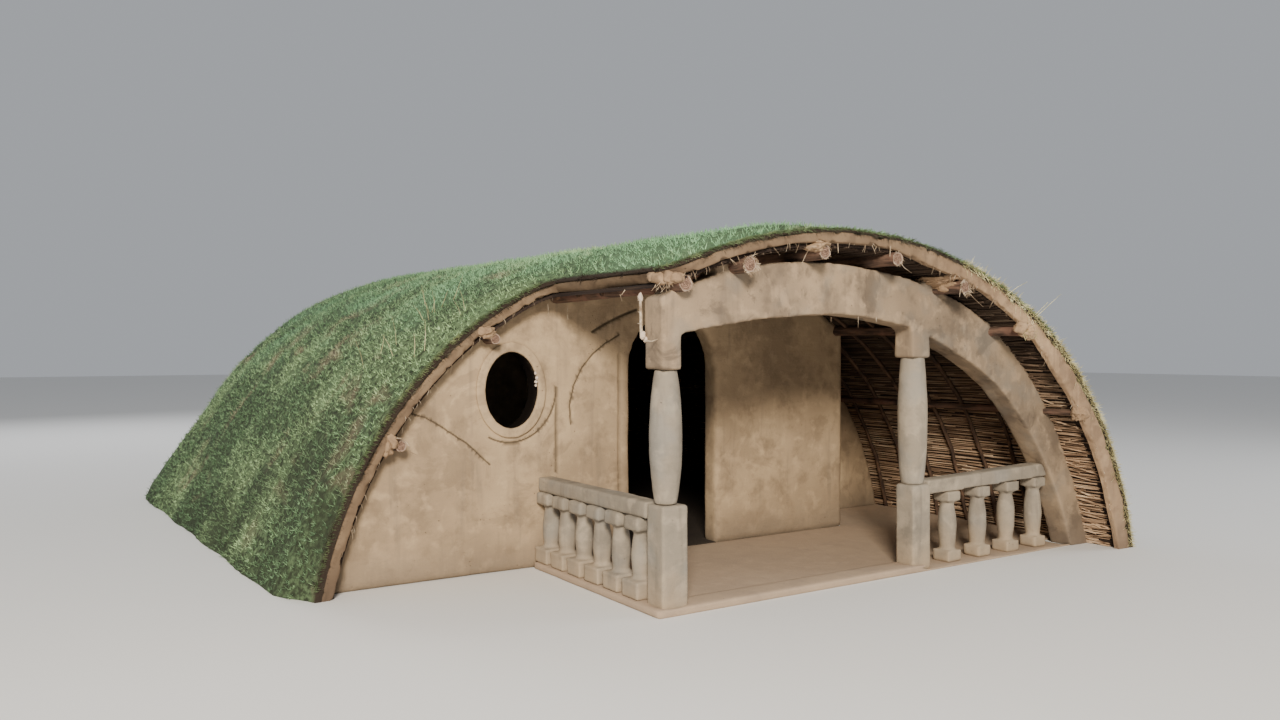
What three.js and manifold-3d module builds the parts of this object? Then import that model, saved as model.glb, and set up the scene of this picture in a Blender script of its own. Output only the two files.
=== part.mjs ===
// Underground house: a mud-plastered barrel vault under living turf, with a
// recessed porch, two turned clay columns, balustrades, a round-topped doorway
// and an oval window. Millimetres, +Z up, front facing -Y. The origin is on the
// ground, under the middle of the vault.

import * as THREE from 'three';
import { mergeVertices } from 'three/addons/utils/BufferGeometryUtils.js';
import Module from 'manifold-3d';

const wasm = await Module();
wasm.setup();

// Vault: half of its arch is one Bezier curve from the foot up to the crown
const halfSpan = 2945;
const crownHeight = 2335;
const shoulderX = 2615;
const shoulderHeight = 1650;
const haunchX = 1200;
const stations = 32;

// Edges of the roof. The porch roof's front edge runs askew: it lies furthest
// forward at the right foot, and further back by the skew at its left end.
const porchRoofFront = -3825;
const porchRoofSkew = 230;
const sideRoofFront = -2005;
const sideRoofEdgeX = -1365;
const innerCornerRadius = 150;
const outerCornerRadius = 200;
const roofBack = 3825;

// Roof layers, as distances from the arch line, which is the middle of the mud
const mudHalf = 35;
const lipDepth = 40;
const lipTaper = 4;
const lipAtHaunch = 28;
const lipAtFoot = 85;
const lipStartX = 300;
const lipHaunchRun = 500;
const lipSwellX = 1600;
const lipSwellRun = 700;
const wattleThickness = 18;
const wattleSetBack = 45;
const turfSetBack = 12;
const gap = 0.3;
const seamHalf = 0.00005;
const leftSeam = 15;
const rightSeam = 14;
const turfRowSpacing = 300;
const turfEdgeRows = [0, 110, 350];
const turfEdgeThickness = 32;
const turfSideEdgeExtra = 35;
const turfEdgeRun = 350;
const turfFrontThickness = 85;
const turfBackThickness = 120;
const turfCrownExtra = 60;
const turfFootFront = 80;
const turfFootBack = 290;
const flareTop = 900;
const flareCurve = 1.5;
const swellBottom = 1500;
const humpHeight = 12;
const humpSize = 200;
const humpPeak = 1.5;

// Purlins: logs that run from front to back under the wattle
const purlinRadius = 48;
const purlinSides = 12;
const purlinBack = 3725;
const purlinAhead = 25;
const purlinStations = [-7, -16, -21, -24, -29, 29, 23, 17, 8];

// Walls
const wallThickness = 180;
const facadeFront = -1860;
const facadeBack = facadeFront + wallThickness;
const backWallFront = 3345;
const backWallBack = 3525;
const doorLeft = -566;
const doorRight = 276;
const doorSpring = 1472;
const lintelBearing = 120;
const porchCornerX = 1717;
const recessFront = -1175;
const recessBack = -1015;
const wallReach = 3200;
const cutOvershoot = 10;

// Window
const windowX = -1586;
const windowHeight = 1311;
const windowHalfWidth = 207;
const windowHalfHeight = 276;
const ringWidth = 70;
const ringDepth = 25;

// Floors, and the kerb along the porch's left and front edges
const floorTop = 14;
const kerbTop = 50;
const kerbWidth = 200;
const porchFloorFront = -3505;
const porchFloorLeft = -1412;

// Arch beam, pedestals, columns and capitals
const beamFront = -3475;
const beamBack = -3275;
const beamLeft = -1371;
const beamDepthAtCrown = 147;
const beamDepthAtLeft = 112;
const beamArchEnd = -0.344;
const beamTouchesFrom = 0.55;
const beamEasing = 0.45;
const beamLeftUnderside = 1700;
const beamLeftTop = 1916;
const rightCapitalTop = 1762;
const leftPedestal = { x: -1266.5, y: -3385, width: 191, depth: 180, height: 660 };
const rightPedestal = { x: 917, y: -3389.5, width: 188, depth: 171, height: 621 };
const leftColumn = { x: -1280, y: -3385, bottom: 68.5, middle: 101.5, top: 69.5 };
const rightColumn = { x: 911, y: -3385, bottom: 78, middle: 107.5, top: 84 };
const leftCapital = { left: -1368.5, right: -1220.5, back: -3273, bottom: 1480 };
const rightCapital = { left: 808, right: 988, back: -3297, bottom: 1545 };
const capitalFront = -3477;
const columnSides = 24;
const shaftRings = 10;
const shaftFullness = 0.8;

// Balustrades
const leftRailTop = 667;
const rightRailTop = 643;
const rightRailRise = 0.03;
const railHeight = 105;
const railWidth = 130;
const leftRailX = -1307;
const rightRailY = -3385;
const rightRailEndX = 2445;
const leftBaluster = { plinthWidth: 185, plinthHeight: 115, capWidth: 170, capHeight: 90 };
const rightBaluster = { plinthWidth: 147, plinthHeight: 86, capWidth: 145, capHeight: 78 };
const balusterSides = 16;
const balusterSink = 2;
const leftBalusterRadii = { bottom: 48, middle: 53, top: 47 };
const rightBalusterRadii = { bottom: 53, middle: 58, top: 47 };
const leftBalusterFirstY = -3155;
const leftBalusterStep = 240;
const leftBalusterCount = 6;
const rightBalusterFirstX = 1295;
const rightBalusterStep = 346;
const rightBalusterCount = 4;

const clayWall = { color: 0xa98c68, roughness: 0.95, metalness: 0 };
const clayGrey = { color: 0x968c7c, roughness: 0.9, metalness: 0 };
const clayFloor = { color: 0xa08a6c, roughness: 0.92, metalness: 0 };
const edgeMud = { color: 0xb8905e, roughness: 0.97, metalness: 0 };
const turfGreen = { color: 0x5d7a3a, roughness: 1, metalness: 0 };
const wattleBrown = { color: 0x46352a, roughness: 0.95, metalness: 0 };
const barkBrown = { color: 0x7a573f, roughness: 0.9, metalness: 0 };

const halfArch = new THREE.CubicBezierCurve(
  new THREE.Vector2(halfSpan, 0),
  new THREE.Vector2(shoulderX, shoulderHeight),
  new THREE.Vector2(haunchX, crownHeight),
  new THREE.Vector2(0, crownHeight),
);

// A place on the arch: s is -1 at the left foot, 0 at the crown, 1 at the right
// foot, and the offset is outwards. The feet are cut flat at the ground.
function archPoint(s, offset) {
  const side = s < 0 ? -1 : 1;
  const t = 1 - Math.abs(s);
  const point = halfArch.getPoint(t);
  const tangent = halfArch.getTangent(t);
  if (t < seamHalf) {
    return new THREE.Vector2(side * (halfSpan + offset / tangent.y), 0);
  }
  const x = point.x + tangent.y * offset;
  const z = point.y - tangent.x * offset;
  return new THREE.Vector2(side * x, z);
}

// Station numbers count along half the arch, from 0 at a foot to 32 at the
// crown, and are negative on the left half
function stationToS(station) {
  const side = station < 0 ? -1 : 1;
  return side * (1 - Math.abs(station) / stations);
}

function smooth(value) {
  const x = Math.min(1, Math.max(0, value));
  return x * x * (3 - 2 * x);
}

// Where the porch roof's front edge lies, at a place across the house
function porchFrontAt(x) {
  const share = (x - sideRoofEdgeX) / (halfSpan - sideRoofEdgeX);
  return porchRoofFront + porchRoofSkew * (1 - Math.min(1, Math.max(0, share)));
}

// A row across the porch roof, drawn in to its askew front edge
function askewRow(x, y) {
  if (y >= sideRoofFront) {
    return y;
  }
  const share = (sideRoofFront - y) / (sideRoofFront - porchRoofFront);
  return sideRoofFront + share * (porchFrontAt(x) - sideRoofFront);
}

// The mud's front edge hangs down as a lip, which deepens to the right foot
function lipDrop(x, y) {
  if (y > porchRoofFront + lipDepth) {
    return 0;
  }
  const haunch = lipAtHaunch * smooth((x - lipStartX) / lipHaunchRun);
  return haunch + (lipAtFoot - lipAtHaunch) * smooth((x - lipSwellX) / lipSwellRun);
}

// Distance in plan from a place on the roof to its nearest edge
function edgeDistance(x, y) {
  const dx = x - sideRoofEdgeX + innerCornerRadius;
  const dy = y - sideRoofFront + innerCornerRadius;
  const outside = Math.hypot(Math.max(dx, 0), Math.max(dy, 0));
  const corner = outside + Math.min(Math.max(dx, dy), 0) - innerCornerRadius;
  return Math.min(corner, y - porchFrontAt(x), roofBack - y);
}

// Low humps and hollows that lie about three hump sizes apart
function turfHump(x, height, y) {
  const across = Math.sin(x / humpSize) * Math.cos(y / humpSize);
  const along = Math.sin(y / humpSize) * Math.cos(height / humpSize);
  const upward = Math.sin(height / humpSize) * Math.cos(x / humpSize);
  return (humpHeight * (across + along + upward)) / humpPeak;
}

// Turf thins out at the roof's edges and swells towards the back and its feet
function turfThickness(x, height, y) {
  const back = Math.min(1, Math.max(0, (y - porchRoofFront) / (backWallBack - porchRoofFront)));
  const foot = Math.max(0, (flareTop - height) / flareTop);
  const swell = Math.max(0, (height - swellBottom) / (crownHeight - swellBottom));
  const front = turfFrontThickness + turfFootFront * foot * foot;
  const rear = turfBackThickness + turfFootBack * Math.pow(foot, flareCurve) + turfCrownExtra * swell;
  const full = front + (rear - front) * back;
  const edge = turfEdgeThickness + turfSideEdgeExtra * (1 - smooth(swell));
  const inside = smooth(edgeDistance(x, y) / turfEdgeRun);
  return edge + (full - edge + turfHump(x, height, y)) * inside;
}

// Rows across the turf, from front to back: close at the edges, even between
function turfRows(front, back) {
  const marks = [];
  for (const step of turfEdgeRows) {
    marks.push(porchRoofFront + turfSetBack + step);
    marks.push(sideRoofFront + turfSetBack + step);
    marks.push(back - step);
  }
  marks.sort((a, b) => a - b);
  const rows = [];
  for (const mark of marks.filter((y) => y >= front)) {
    const last = rows.length > 0 ? rows[rows.length - 1] : mark;
    const steps = Math.ceil((mark - last) / turfRowSpacing);
    for (let i = 1; i < steps; i += 1) {
      rows.push(last + ((mark - last) * i) / steps);
    }
    rows.push(mark);
  }
  return rows;
}

// One stretch of a roof layer: a box bent along the arch, with rows along Y
function vaultLayer(fromS, toS, innerAt, thicknessAt, rows) {
  const arcSteps = Math.round(Math.abs(toS - fromS) * stations);
  const rowSteps = rows.length - 1;
  const geometry = new THREE.BoxGeometry(1, 1, 1, arcSteps, rowSteps, 1);
  const position = geometry.attributes.position;
  for (let i = 0; i < position.count; i += 1) {
    const s = fromS + (toS - fromS) * (position.getX(i) + 0.5);
    const row = rows[Math.round((position.getY(i) + 0.5) * rowSteps)];
    const outer = position.getZ(i) > 0;
    const middle = archPoint(s, 0);
    const y = askewRow(middle.x, row);
    const inner = innerAt(middle.x, row);
    const offset = outer ? innerAt(middle.x, 0) + thicknessAt(middle.x, middle.y, y) : inner;
    const place = archPoint(s, offset);
    position.setXYZ(i, place.x, y, place.y);
  }
  geometry.computeVertexNormals();
  return geometry;
}

// An outline in the X-Z plane, extruded along Y
function extrudeAlongY(shape, front, back, curveSegments = 12) {
  const geometry = new THREE.ExtrudeGeometry(shape, {
    depth: back - front,
    bevelEnabled: false,
    curveSegments,
  });
  geometry.rotateX(Math.PI / 2);
  geometry.translate(0, back, 0);
  return geometry;
}

// An outline in the X-Y plane, extruded upwards
function extrudeUp(shape, bottom, top, curveSegments = 12) {
  const geometry = new THREE.ExtrudeGeometry(shape, {
    depth: top - bottom,
    bevelEnabled: false,
    curveSegments,
  });
  geometry.translate(0, 0, bottom);
  return geometry;
}

function box(x0, x1, y0, y1, z0, z1) {
  const geometry = new THREE.BoxGeometry(x1 - x0, y1 - y0, z1 - z0);
  geometry.translate((x0 + x1) / 2, (y0 + y1) / 2, (z0 + z1) / 2);
  return geometry;
}

function polygon(points) {
  return new THREE.Shape(points.map(([x, y]) => new THREE.Vector2(x, y)));
}

function toSolid(geometry) {
  const bare = geometry.clone();
  bare.deleteAttribute('normal');
  bare.deleteAttribute('uv');
  const merged = mergeVertices(bare, 0.001);
  return new wasm.Manifold(new wasm.Mesh({
    numProp: 3,
    vertProperties: new Float32Array(merged.attributes.position.array),
    triVerts: new Uint32Array(merged.index.array),
  }));
}

function toGeometry(solid) {
  const mesh = solid.getMesh();
  const geometry = new THREE.BufferGeometry();
  geometry.setAttribute('position', new THREE.BufferAttribute(mesh.vertProperties, 3));
  geometry.setIndex(new THREE.BufferAttribute(mesh.triVerts, 1));
  geometry.computeVertexNormals();
  return geometry;
}

// The space that a neighbour takes: the shape moved a gap's width every way
function withClearance(geometry) {
  let space = toSolid(geometry);
  for (const dx of [-gap, gap]) {
    for (const dy of [-gap, gap]) {
      for (const dz of [-gap, gap]) {
        space = space.add(toSolid(geometry.clone().translate(dx, dy, dz)));
      }
    }
  }
  return space;
}

// The space under the wattle, which trims the tops of walls and floors
function underVault() {
  const offset = -(mudHalf + gap + wattleThickness + gap);
  const points = [];
  for (let i = 0; i <= 2 * stations; i += 1) {
    points.push(archPoint(i / stations - 1, offset));
  }
  return toSolid(extrudeAlongY(new THREE.Shape(points), porchRoofFront, roofBack));
}

function purlin(station, radius) {
  const offset = -(mudHalf + gap + wattleThickness + gap + purlinRadius);
  const centre = archPoint(stationToS(station), offset);
  const edge = centre.x < sideRoofEdgeX ? sideRoofFront : porchFrontAt(centre.x);
  const front = edge - purlinAhead;
  const length = purlinBack - front;
  const geometry = new THREE.CylinderGeometry(radius, radius, length, purlinSides);
  geometry.translate(0, (front + purlinBack) / 2, 0);
  geometry.translate(centre.x, 0, centre.y);
  return geometry;
}

const vaultSpace = underVault();
let purlinSpace = toSolid(purlin(purlinStations[0], purlinRadius + gap));
for (const station of purlinStations.slice(1)) {
  purlinSpace = purlinSpace.add(toSolid(purlin(station, purlinRadius + gap)));
}

// A wall's outline in the X-Z plane, trimmed to the vault and to the purlins
function wall(shape, front, back) {
  const slab = toSolid(extrudeAlongY(shape, front, back));
  return slab.intersect(vaultSpace).subtract(purlinSpace);
}

function ellipse(x, z, radiusX, radiusZ) {
  const shape = new THREE.Shape();
  shape.absellipse(x, z, radiusX, radiusZ, 0, Math.PI * 2, false);
  return shape;
}

// The facade left of the doorway, with the oval window cut through it
function frontWallLeft() {
  const outline = polygon([
    [-wallReach, 0],
    [doorLeft, 0],
    [doorLeft, doorSpring],
    [doorLeft - lintelBearing, doorSpring],
    [doorLeft - lintelBearing, crownHeight],
    [-wallReach, crownHeight],
  ]);
  const hole = ellipse(windowX, windowHeight, windowHalfWidth, windowHalfHeight);
  const cut = extrudeAlongY(hole, facadeFront - cutOvershoot, facadeBack + cutOvershoot, 32);
  return toGeometry(wall(outline, facadeFront, facadeBack).subtract(toSolid(cut)));
}

// The facade between the doorway and the porch's back corner
function frontWallRight() {
  const outline = polygon([
    [doorRight, 0],
    [porchCornerX, 0],
    [porchCornerX, crownHeight],
    [doorRight + lintelBearing, crownHeight],
    [doorRight + lintelBearing, doorSpring],
    [doorRight, doorSpring],
  ]);
  return toGeometry(wall(outline, facadeFront, facadeBack));
}

// The round head of the doorway, which bears on the walls at both sides
function frontWallOverDoor() {
  const radius = (doorRight - doorLeft) / 2;
  const centre = (doorRight + doorLeft) / 2;
  const outline = polygon([
    [doorLeft - lintelBearing + gap, doorSpring + gap],
    [doorRight + lintelBearing - gap, doorSpring + gap],
    [doorRight + lintelBearing - gap, crownHeight],
    [doorLeft - lintelBearing + gap, crownHeight],
  ]);
  const cut = extrudeAlongY(
    ellipse(centre, doorSpring, radius, radius),
    facadeFront - cutOvershoot,
    facadeBack + cutOvershoot,
    24,
  );
  return toGeometry(wall(outline, facadeFront, facadeBack).subtract(toSolid(cut)));
}

// The porch's recess: a short return wall, then a wall out to the vault's side
function porchReturnWall() {
  const outline = polygon([
    [porchCornerX - wallThickness, 0],
    [porchCornerX, 0],
    [porchCornerX, crownHeight],
    [porchCornerX - wallThickness, crownHeight],
  ]);
  return toGeometry(wall(outline, facadeBack + gap, recessFront - gap));
}

function porchRecessWall() {
  const outline = polygon([
    [porchCornerX - wallThickness, 0],
    [wallReach, 0],
    [wallReach, crownHeight],
    [porchCornerX - wallThickness, crownHeight],
  ]);
  return toGeometry(wall(outline, recessFront, recessBack));
}

function backWall() {
  const outline = polygon([
    [-wallReach, 0],
    [wallReach, 0],
    [wallReach, crownHeight],
    [-wallReach, crownHeight],
  ]);
  return toGeometry(wall(outline, backWallFront, backWallBack));
}

function windowRing() {
  const outer = ellipse(
    windowX,
    windowHeight,
    windowHalfWidth + ringWidth,
    windowHalfHeight + ringWidth,
  );
  outer.holes.push(ellipse(windowX, windowHeight, windowHalfWidth, windowHalfHeight));
  return extrudeAlongY(outer, facadeFront - gap - ringDepth, facadeFront - gap, 32);
}

// The clay arch over the porch: a shallow span between the columns, then a
// long sweep down to the ground at the right
function archBeam() {
  const underside = [
    [leftCapital.right, beamLeftUnderside],
    [-848, 1763],
    [-494, 1808],
    [-18, 1838],
    [321, 1827],
    [rightCapital.left, rightCapitalTop],
  ];
  const sweep = [
    [rightCapital.right, rightCapitalTop],
    [1010, 1700],
    [1148, 1641],
    [1361, 1546],
    [1546, 1460],
    [1697, 1373],
    [1827, 1285],
    [2160, 965],
    [2395, 640],
    [2530, 320],
    [2595, 0],
  ];
  const shape = new THREE.Shape();
  shape.moveTo(beamLeft, beamLeftUnderside);
  shape.lineTo(underside[0][0], underside[0][1]);
  shape.splineThru(underside.slice(1).map(([x, z]) => new THREE.Vector2(x, z)));
  shape.lineTo(sweep[0][0], sweep[0][1]);
  shape.splineThru(sweep.slice(1).map(([x, z]) => new THREE.Vector2(x, z)));
  const touching = mudHalf + wattleThickness + 3 * gap;
  for (let s = 1; s >= beamArchEnd; s -= 1 / stations) {
    const right = touching + (beamDepthAtCrown - touching) * smooth((beamTouchesFrom - s) / beamEasing);
    const left = (beamDepthAtLeft - beamDepthAtCrown) * smooth(s / beamArchEnd);
    const point = archPoint(s, -(right + left));
    shape.lineTo(point.x, point.y);
  }
  shape.lineTo(beamLeft, beamLeftTop);
  return extrudeAlongY(shape, beamFront, beamBack, 6);
}

const beamGeometry = archBeam();

function cutBeam() {
  return toGeometry(toSolid(beamGeometry).intersect(vaultSpace).subtract(purlinSpace));
}

function pedestal({ x, y, width, depth, height }) {
  return box(x - width / 2, x + width / 2, y - depth / 2, y + depth / 2, 0, height);
}

// A shaft turned on a vertical axis, thickest near its middle
function shaft(bottom, top, radii, sides) {
  const profile = [new THREE.Vector2(0, bottom)];
  for (let i = 0; i <= shaftRings; i += 1) {
    const u = i / shaftRings;
    const end = radii.bottom + (radii.top - radii.bottom) * u;
    const radius = end + (radii.middle - end) * Math.pow(Math.sin(Math.PI * u), shaftFullness);
    profile.push(new THREE.Vector2(radius, bottom + (top - bottom) * u));
  }
  profile.push(new THREE.Vector2(0, top));
  const geometry = new THREE.LatheGeometry(profile, sides);
  geometry.rotateX(Math.PI / 2);
  return geometry;
}

function column(size, base, head) {
  const geometry = shaft(base.height + gap, head.bottom - gap, size, columnSides);
  return geometry.translate(size.x, size.y, 0);
}

function capital({ left, right, back, bottom }, top) {
  return box(left, right, capitalFront, back, bottom, top - gap);
}

// A baluster: square plinth, round shaft, square cap
function baluster(x, y, base, railUnderside, size, radii) {
  const bottom = base + gap;
  const top = railUnderside - gap;
  const halfPlinth = size.plinthWidth / 2;
  const halfCap = size.capWidth / 2;
  const plinthTop = bottom + size.plinthHeight;
  const capBottom = top - size.capHeight;
  const plinth = box(x - halfPlinth, x + halfPlinth, y - halfPlinth, y + halfPlinth, bottom, plinthTop);
  const cap = box(x - halfCap, x + halfCap, y - halfCap, y + halfCap, capBottom, top);
  const shaftBottom = plinthTop - balusterSink;
  const shaftTop = capBottom + balusterSink;
  const round = shaft(shaftBottom, shaftTop, radii, balusterSides).translate(x, y, 0);
  return toGeometry(toSolid(plinth).add(toSolid(round)).add(toSolid(cap)));
}

function leftRail() {
  const start = leftPedestal.y + leftPedestal.depth / 2 + gap;
  return box(
    leftRailX - railWidth / 2,
    leftRailX + railWidth / 2,
    start,
    facadeFront - gap,
    leftRailTop - railHeight,
    leftRailTop,
  );
}

// The right rail's underside, which rises a little from the pedestal to the arch
function rightRailUnderside(x) {
  const start = rightPedestal.x + rightPedestal.width / 2;
  return rightRailTop - railHeight + rightRailRise * (x - start);
}

// The right rail runs from its pedestal into the foot of the arch
function rightRail() {
  const start = rightPedestal.x + rightPedestal.width / 2 + gap;
  const outline = polygon([
    [start, rightRailUnderside(start)],
    [halfSpan, rightRailUnderside(halfSpan)],
    [halfSpan, rightRailUnderside(halfSpan) + railHeight],
    [start, rightRailUnderside(start) + railHeight],
  ]);
  const rail = extrudeAlongY(outline, rightRailY - railWidth / 2, rightRailY + railWidth / 2);
  const legFront = rightRailY - railWidth;
  const legBack = rightRailY + railWidth;
  const legSide = box(rightRailEndX, halfSpan + cutOvershoot, legFront, legBack, 0, crownHeight);
  const solid = toSolid(rail).subtract(withClearance(beamGeometry)).subtract(toSolid(legSide));
  return toGeometry(solid);
}

// The porch floor wraps round the pedestals and the foot of the arch. A low kerb
// stands along its left edge, and along its front between the pedestals.
function porchFloor() {
  const plan = polygon([
    [porchFloorLeft, porchFloorFront],
    [wallReach, porchFloorFront],
    [wallReach, recessFront - gap],
    [porchCornerX + gap, recessFront - gap],
    [porchCornerX + gap, facadeFront - gap],
    [porchFloorLeft, facadeFront - gap],
  ]);
  const slab = toSolid(extrudeUp(plan, 0, floorTop)).intersect(vaultSpace);
  const kerbPlan = polygon([
    [porchFloorLeft, porchFloorFront],
    [rightPedestal.x, porchFloorFront],
    [rightPedestal.x, porchFloorFront + kerbWidth],
    [porchFloorLeft + kerbWidth, porchFloorFront + kerbWidth],
    [porchFloorLeft + kerbWidth, facadeFront - gap],
    [porchFloorLeft, facadeFront - gap],
  ]);
  return toGeometry(
    slab
      .add(toSolid(extrudeUp(kerbPlan, 0, kerbTop)))
      .subtract(withClearance(pedestal(leftPedestal)))
      .subtract(withClearance(pedestal(rightPedestal)))
      .subtract(withClearance(beamGeometry)),
  );
}

// The room floor fills the vault between the walls and runs into the doorway
function roomFloor() {
  const plan = polygon([
    [-wallReach, facadeBack + gap],
    [doorLeft + gap, facadeBack + gap],
    [doorLeft + gap, facadeFront + gap],
    [doorRight - gap, facadeFront + gap],
    [doorRight - gap, facadeBack + gap],
    [porchCornerX - wallThickness - gap, facadeBack + gap],
    [porchCornerX - wallThickness - gap, recessBack + gap],
    [wallReach, recessBack + gap],
    [wallReach, backWallFront - gap],
    [-wallReach, backWallFront - gap],
  ]);
  return toGeometry(toSolid(extrudeUp(plan, 0, floorTop)).intersect(vaultSpace));
}

// The open corner at the left of the porch roof, rounded where edges meet
function openCorner() {
  const far = 2 * porchRoofFront;
  const roundedX = sideRoofEdgeX + outerCornerRadius;
  const roundedFront = porchFrontAt(roundedX);
  const shape = new THREE.Shape();
  shape.moveTo(far, far);
  shape.lineTo(roundedX, far);
  shape.lineTo(roundedX, roundedFront);
  shape.absarc(
    roundedX,
    roundedFront + outerCornerRadius,
    outerCornerRadius,
    -Math.PI / 2,
    -Math.PI,
    true,
  );
  shape.lineTo(sideRoofEdgeX, sideRoofFront - innerCornerRadius);
  shape.absarc(
    sideRoofEdgeX - innerCornerRadius,
    sideRoofFront - innerCornerRadius,
    innerCornerRadius,
    0,
    Math.PI / 2,
    false,
  );
  shape.lineTo(far, sideRoofFront);
  return toSolid(extrudeUp(shape, 0, 2 * crownHeight, 10));
}

const house = new THREE.Group();

function addNode(name, geometry, finish) {
  const mesh = new THREE.Mesh(geometry, new THREE.MeshStandardMaterial(finish));
  mesh.name = name;
  house.add(mesh);
}

// Each roof layer is laid in four stretches from the left foot to the right
const corner = openCorner();
const stretches = [
  ['left_side', -1, stationToS(-leftSeam) - seamHalf],
  ['left_top', stationToS(-leftSeam) + seamHalf, -seamHalf],
  ['right_top', seamHalf, stationToS(rightSeam) - seamHalf],
  ['right_side', stationToS(rightSeam) + seamHalf, 1],
];
const wattleInner = () => -(mudHalf + gap + wattleThickness);
const mudInner = (x, y) => -mudHalf - lipDrop(x, y);
const turfInner = () => mudHalf + gap;
const plainRows = (front, back) => [front, back];
const lippedRows = (front, back) => [front, front + lipDepth, front + lipDepth + lipTaper, back];
const layers = [
  ['wattle', wattleInner, () => wattleThickness, wattleSetBack, plainRows, wattleBrown],
  ['mud_roof', mudInner, () => 2 * mudHalf, 0, lippedRows, edgeMud],
  ['turf', turfInner, turfThickness, turfSetBack, turfRows, turfGreen],
];
for (const [layer, innerAt, thicknessAt, setBack, rowsFor, finish] of layers) {
  for (const [side, fromS, toS] of stretches) {
    const front = (side === 'left_side' ? sideRoofFront : porchRoofFront) + setBack;
    const rows = rowsFor(front, roofBack - setBack);
    const stretch = vaultLayer(fromS, toS, innerAt, thicknessAt, rows);
    const taken = side === 'left_top' ? corner : purlinSpace;
    addNode(`${layer}_${side}`, toGeometry(toSolid(stretch).subtract(taken)), finish);
  }
}

purlinStations.forEach((station, index) => {
  addNode(`purlin_${index + 1}`, purlin(station, purlinRadius), barkBrown);
});

addNode('front_wall_left', frontWallLeft(), clayWall);
addNode('front_wall_over_door', frontWallOverDoor(), clayWall);
addNode('front_wall_right', frontWallRight(), clayWall);
addNode('porch_return_wall', porchReturnWall(), clayWall);
addNode('porch_recess_wall', porchRecessWall(), clayWall);
addNode('back_wall', backWall(), clayWall);
addNode('window_ring', windowRing(), clayWall);

addNode('porch_floor', porchFloor(), clayFloor);
addNode('room_floor', roomFloor(), clayFloor);

addNode('arch_beam', cutBeam(), clayWall);
addNode('pedestal_left', pedestal(leftPedestal), clayGrey);
addNode('pedestal_right', pedestal(rightPedestal), clayGrey);
addNode('column_left', column(leftColumn, leftPedestal, leftCapital), clayGrey);
addNode('column_right', column(rightColumn, rightPedestal, rightCapital), clayGrey);
addNode('capital_left', capital(leftCapital, beamLeftUnderside), clayGrey);
addNode('capital_right', capital(rightCapital, rightCapitalTop), clayGrey);

addNode('rail_left', leftRail(), clayGrey);
addNode('rail_right', rightRail(), clayGrey);
for (let i = 0; i < leftBalusterCount; i += 1) {
  const y = leftBalusterFirstY + leftBalusterStep * i;
  const under = leftRailTop - railHeight;
  const piece = baluster(leftRailX, y, kerbTop, under, leftBaluster, leftBalusterRadii);
  addNode(`baluster_left_${i + 1}`, piece, clayGrey);
}
for (let i = 0; i < rightBalusterCount; i += 1) {
  const x = rightBalusterFirstX + rightBalusterStep * i;
  const under = rightRailUnderside(x - rightBaluster.capWidth / 2);
  const piece = baluster(x, rightRailY, floorTop, under, rightBaluster, rightBalusterRadii);
  addNode(`baluster_right_${i + 1}`, piece, clayGrey);
}

export default house;
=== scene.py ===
import math
import random

import bmesh
import bpy
from mathutils import Matrix, Vector, noise


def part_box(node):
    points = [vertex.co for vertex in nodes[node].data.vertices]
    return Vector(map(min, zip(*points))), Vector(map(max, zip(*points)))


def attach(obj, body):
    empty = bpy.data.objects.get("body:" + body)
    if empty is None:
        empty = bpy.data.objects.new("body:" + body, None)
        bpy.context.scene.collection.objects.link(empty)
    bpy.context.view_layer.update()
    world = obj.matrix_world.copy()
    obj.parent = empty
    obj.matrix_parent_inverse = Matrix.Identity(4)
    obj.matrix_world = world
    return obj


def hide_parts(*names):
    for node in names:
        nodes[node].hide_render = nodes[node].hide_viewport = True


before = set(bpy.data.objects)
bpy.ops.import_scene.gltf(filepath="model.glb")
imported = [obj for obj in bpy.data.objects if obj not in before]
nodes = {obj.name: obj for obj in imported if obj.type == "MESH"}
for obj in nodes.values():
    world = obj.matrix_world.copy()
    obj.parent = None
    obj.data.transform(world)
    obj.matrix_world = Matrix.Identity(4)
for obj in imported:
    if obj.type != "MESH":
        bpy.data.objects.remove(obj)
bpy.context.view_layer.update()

scene = bpy.context.scene

# The camera stands where the photographer stood: at eye height, in front of the
# house's left corner, looking across the facade and very slightly down.
photo_width = 1280
focal_pixels = 983
eye_line_above_middle = 10
sensor_width = 36
look_right = 0.546
look_ahead = 0.838
eye_place = (-4.682, -8.319, 1.6)


def new_object(name, data):
    made = bpy.data.objects.new(name, data)
    scene.collection.objects.link(made)
    return made


camera_data = bpy.data.cameras.new("camera")
camera_data.sensor_width = sensor_width
camera_data.lens = sensor_width * focal_pixels / photo_width
camera_drop = math.atan(eye_line_above_middle / focal_pixels)
camera = new_object("camera", camera_data)
camera.location = eye_place
camera.rotation_euler = (math.pi / 2 - camera_drop, 0, -math.atan2(look_right, look_ahead))
scene.camera = camera

# A plain pale floor that runs out of sight, and a pale sky that fills the
# shadows. Neither is part of the house.
floor_reach = 60
floor_mesh = bpy.data.meshes.new("studio_floor")
floor_corners = [(-floor_reach, -floor_reach, 0), (floor_reach, -floor_reach, 0),
                 (floor_reach, floor_reach, 0), (-floor_reach, floor_reach, 0)]
floor_mesh.from_pydata(floor_corners, [], [(0, 1, 2, 3)])
studio_floor = new_object("studio_floor", floor_mesh)
floor_paint = bpy.data.materials.new("studio_floor")
floor_paint.use_nodes = True
floor_shader = floor_paint.node_tree.nodes["Principled BSDF"]
floor_shader.inputs["Base Color"].default_value = (0.74, 0.73, 0.71, 1)
floor_shader.inputs["Roughness"].default_value = 0.9
floor_mesh.materials.append(floor_paint)

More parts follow.
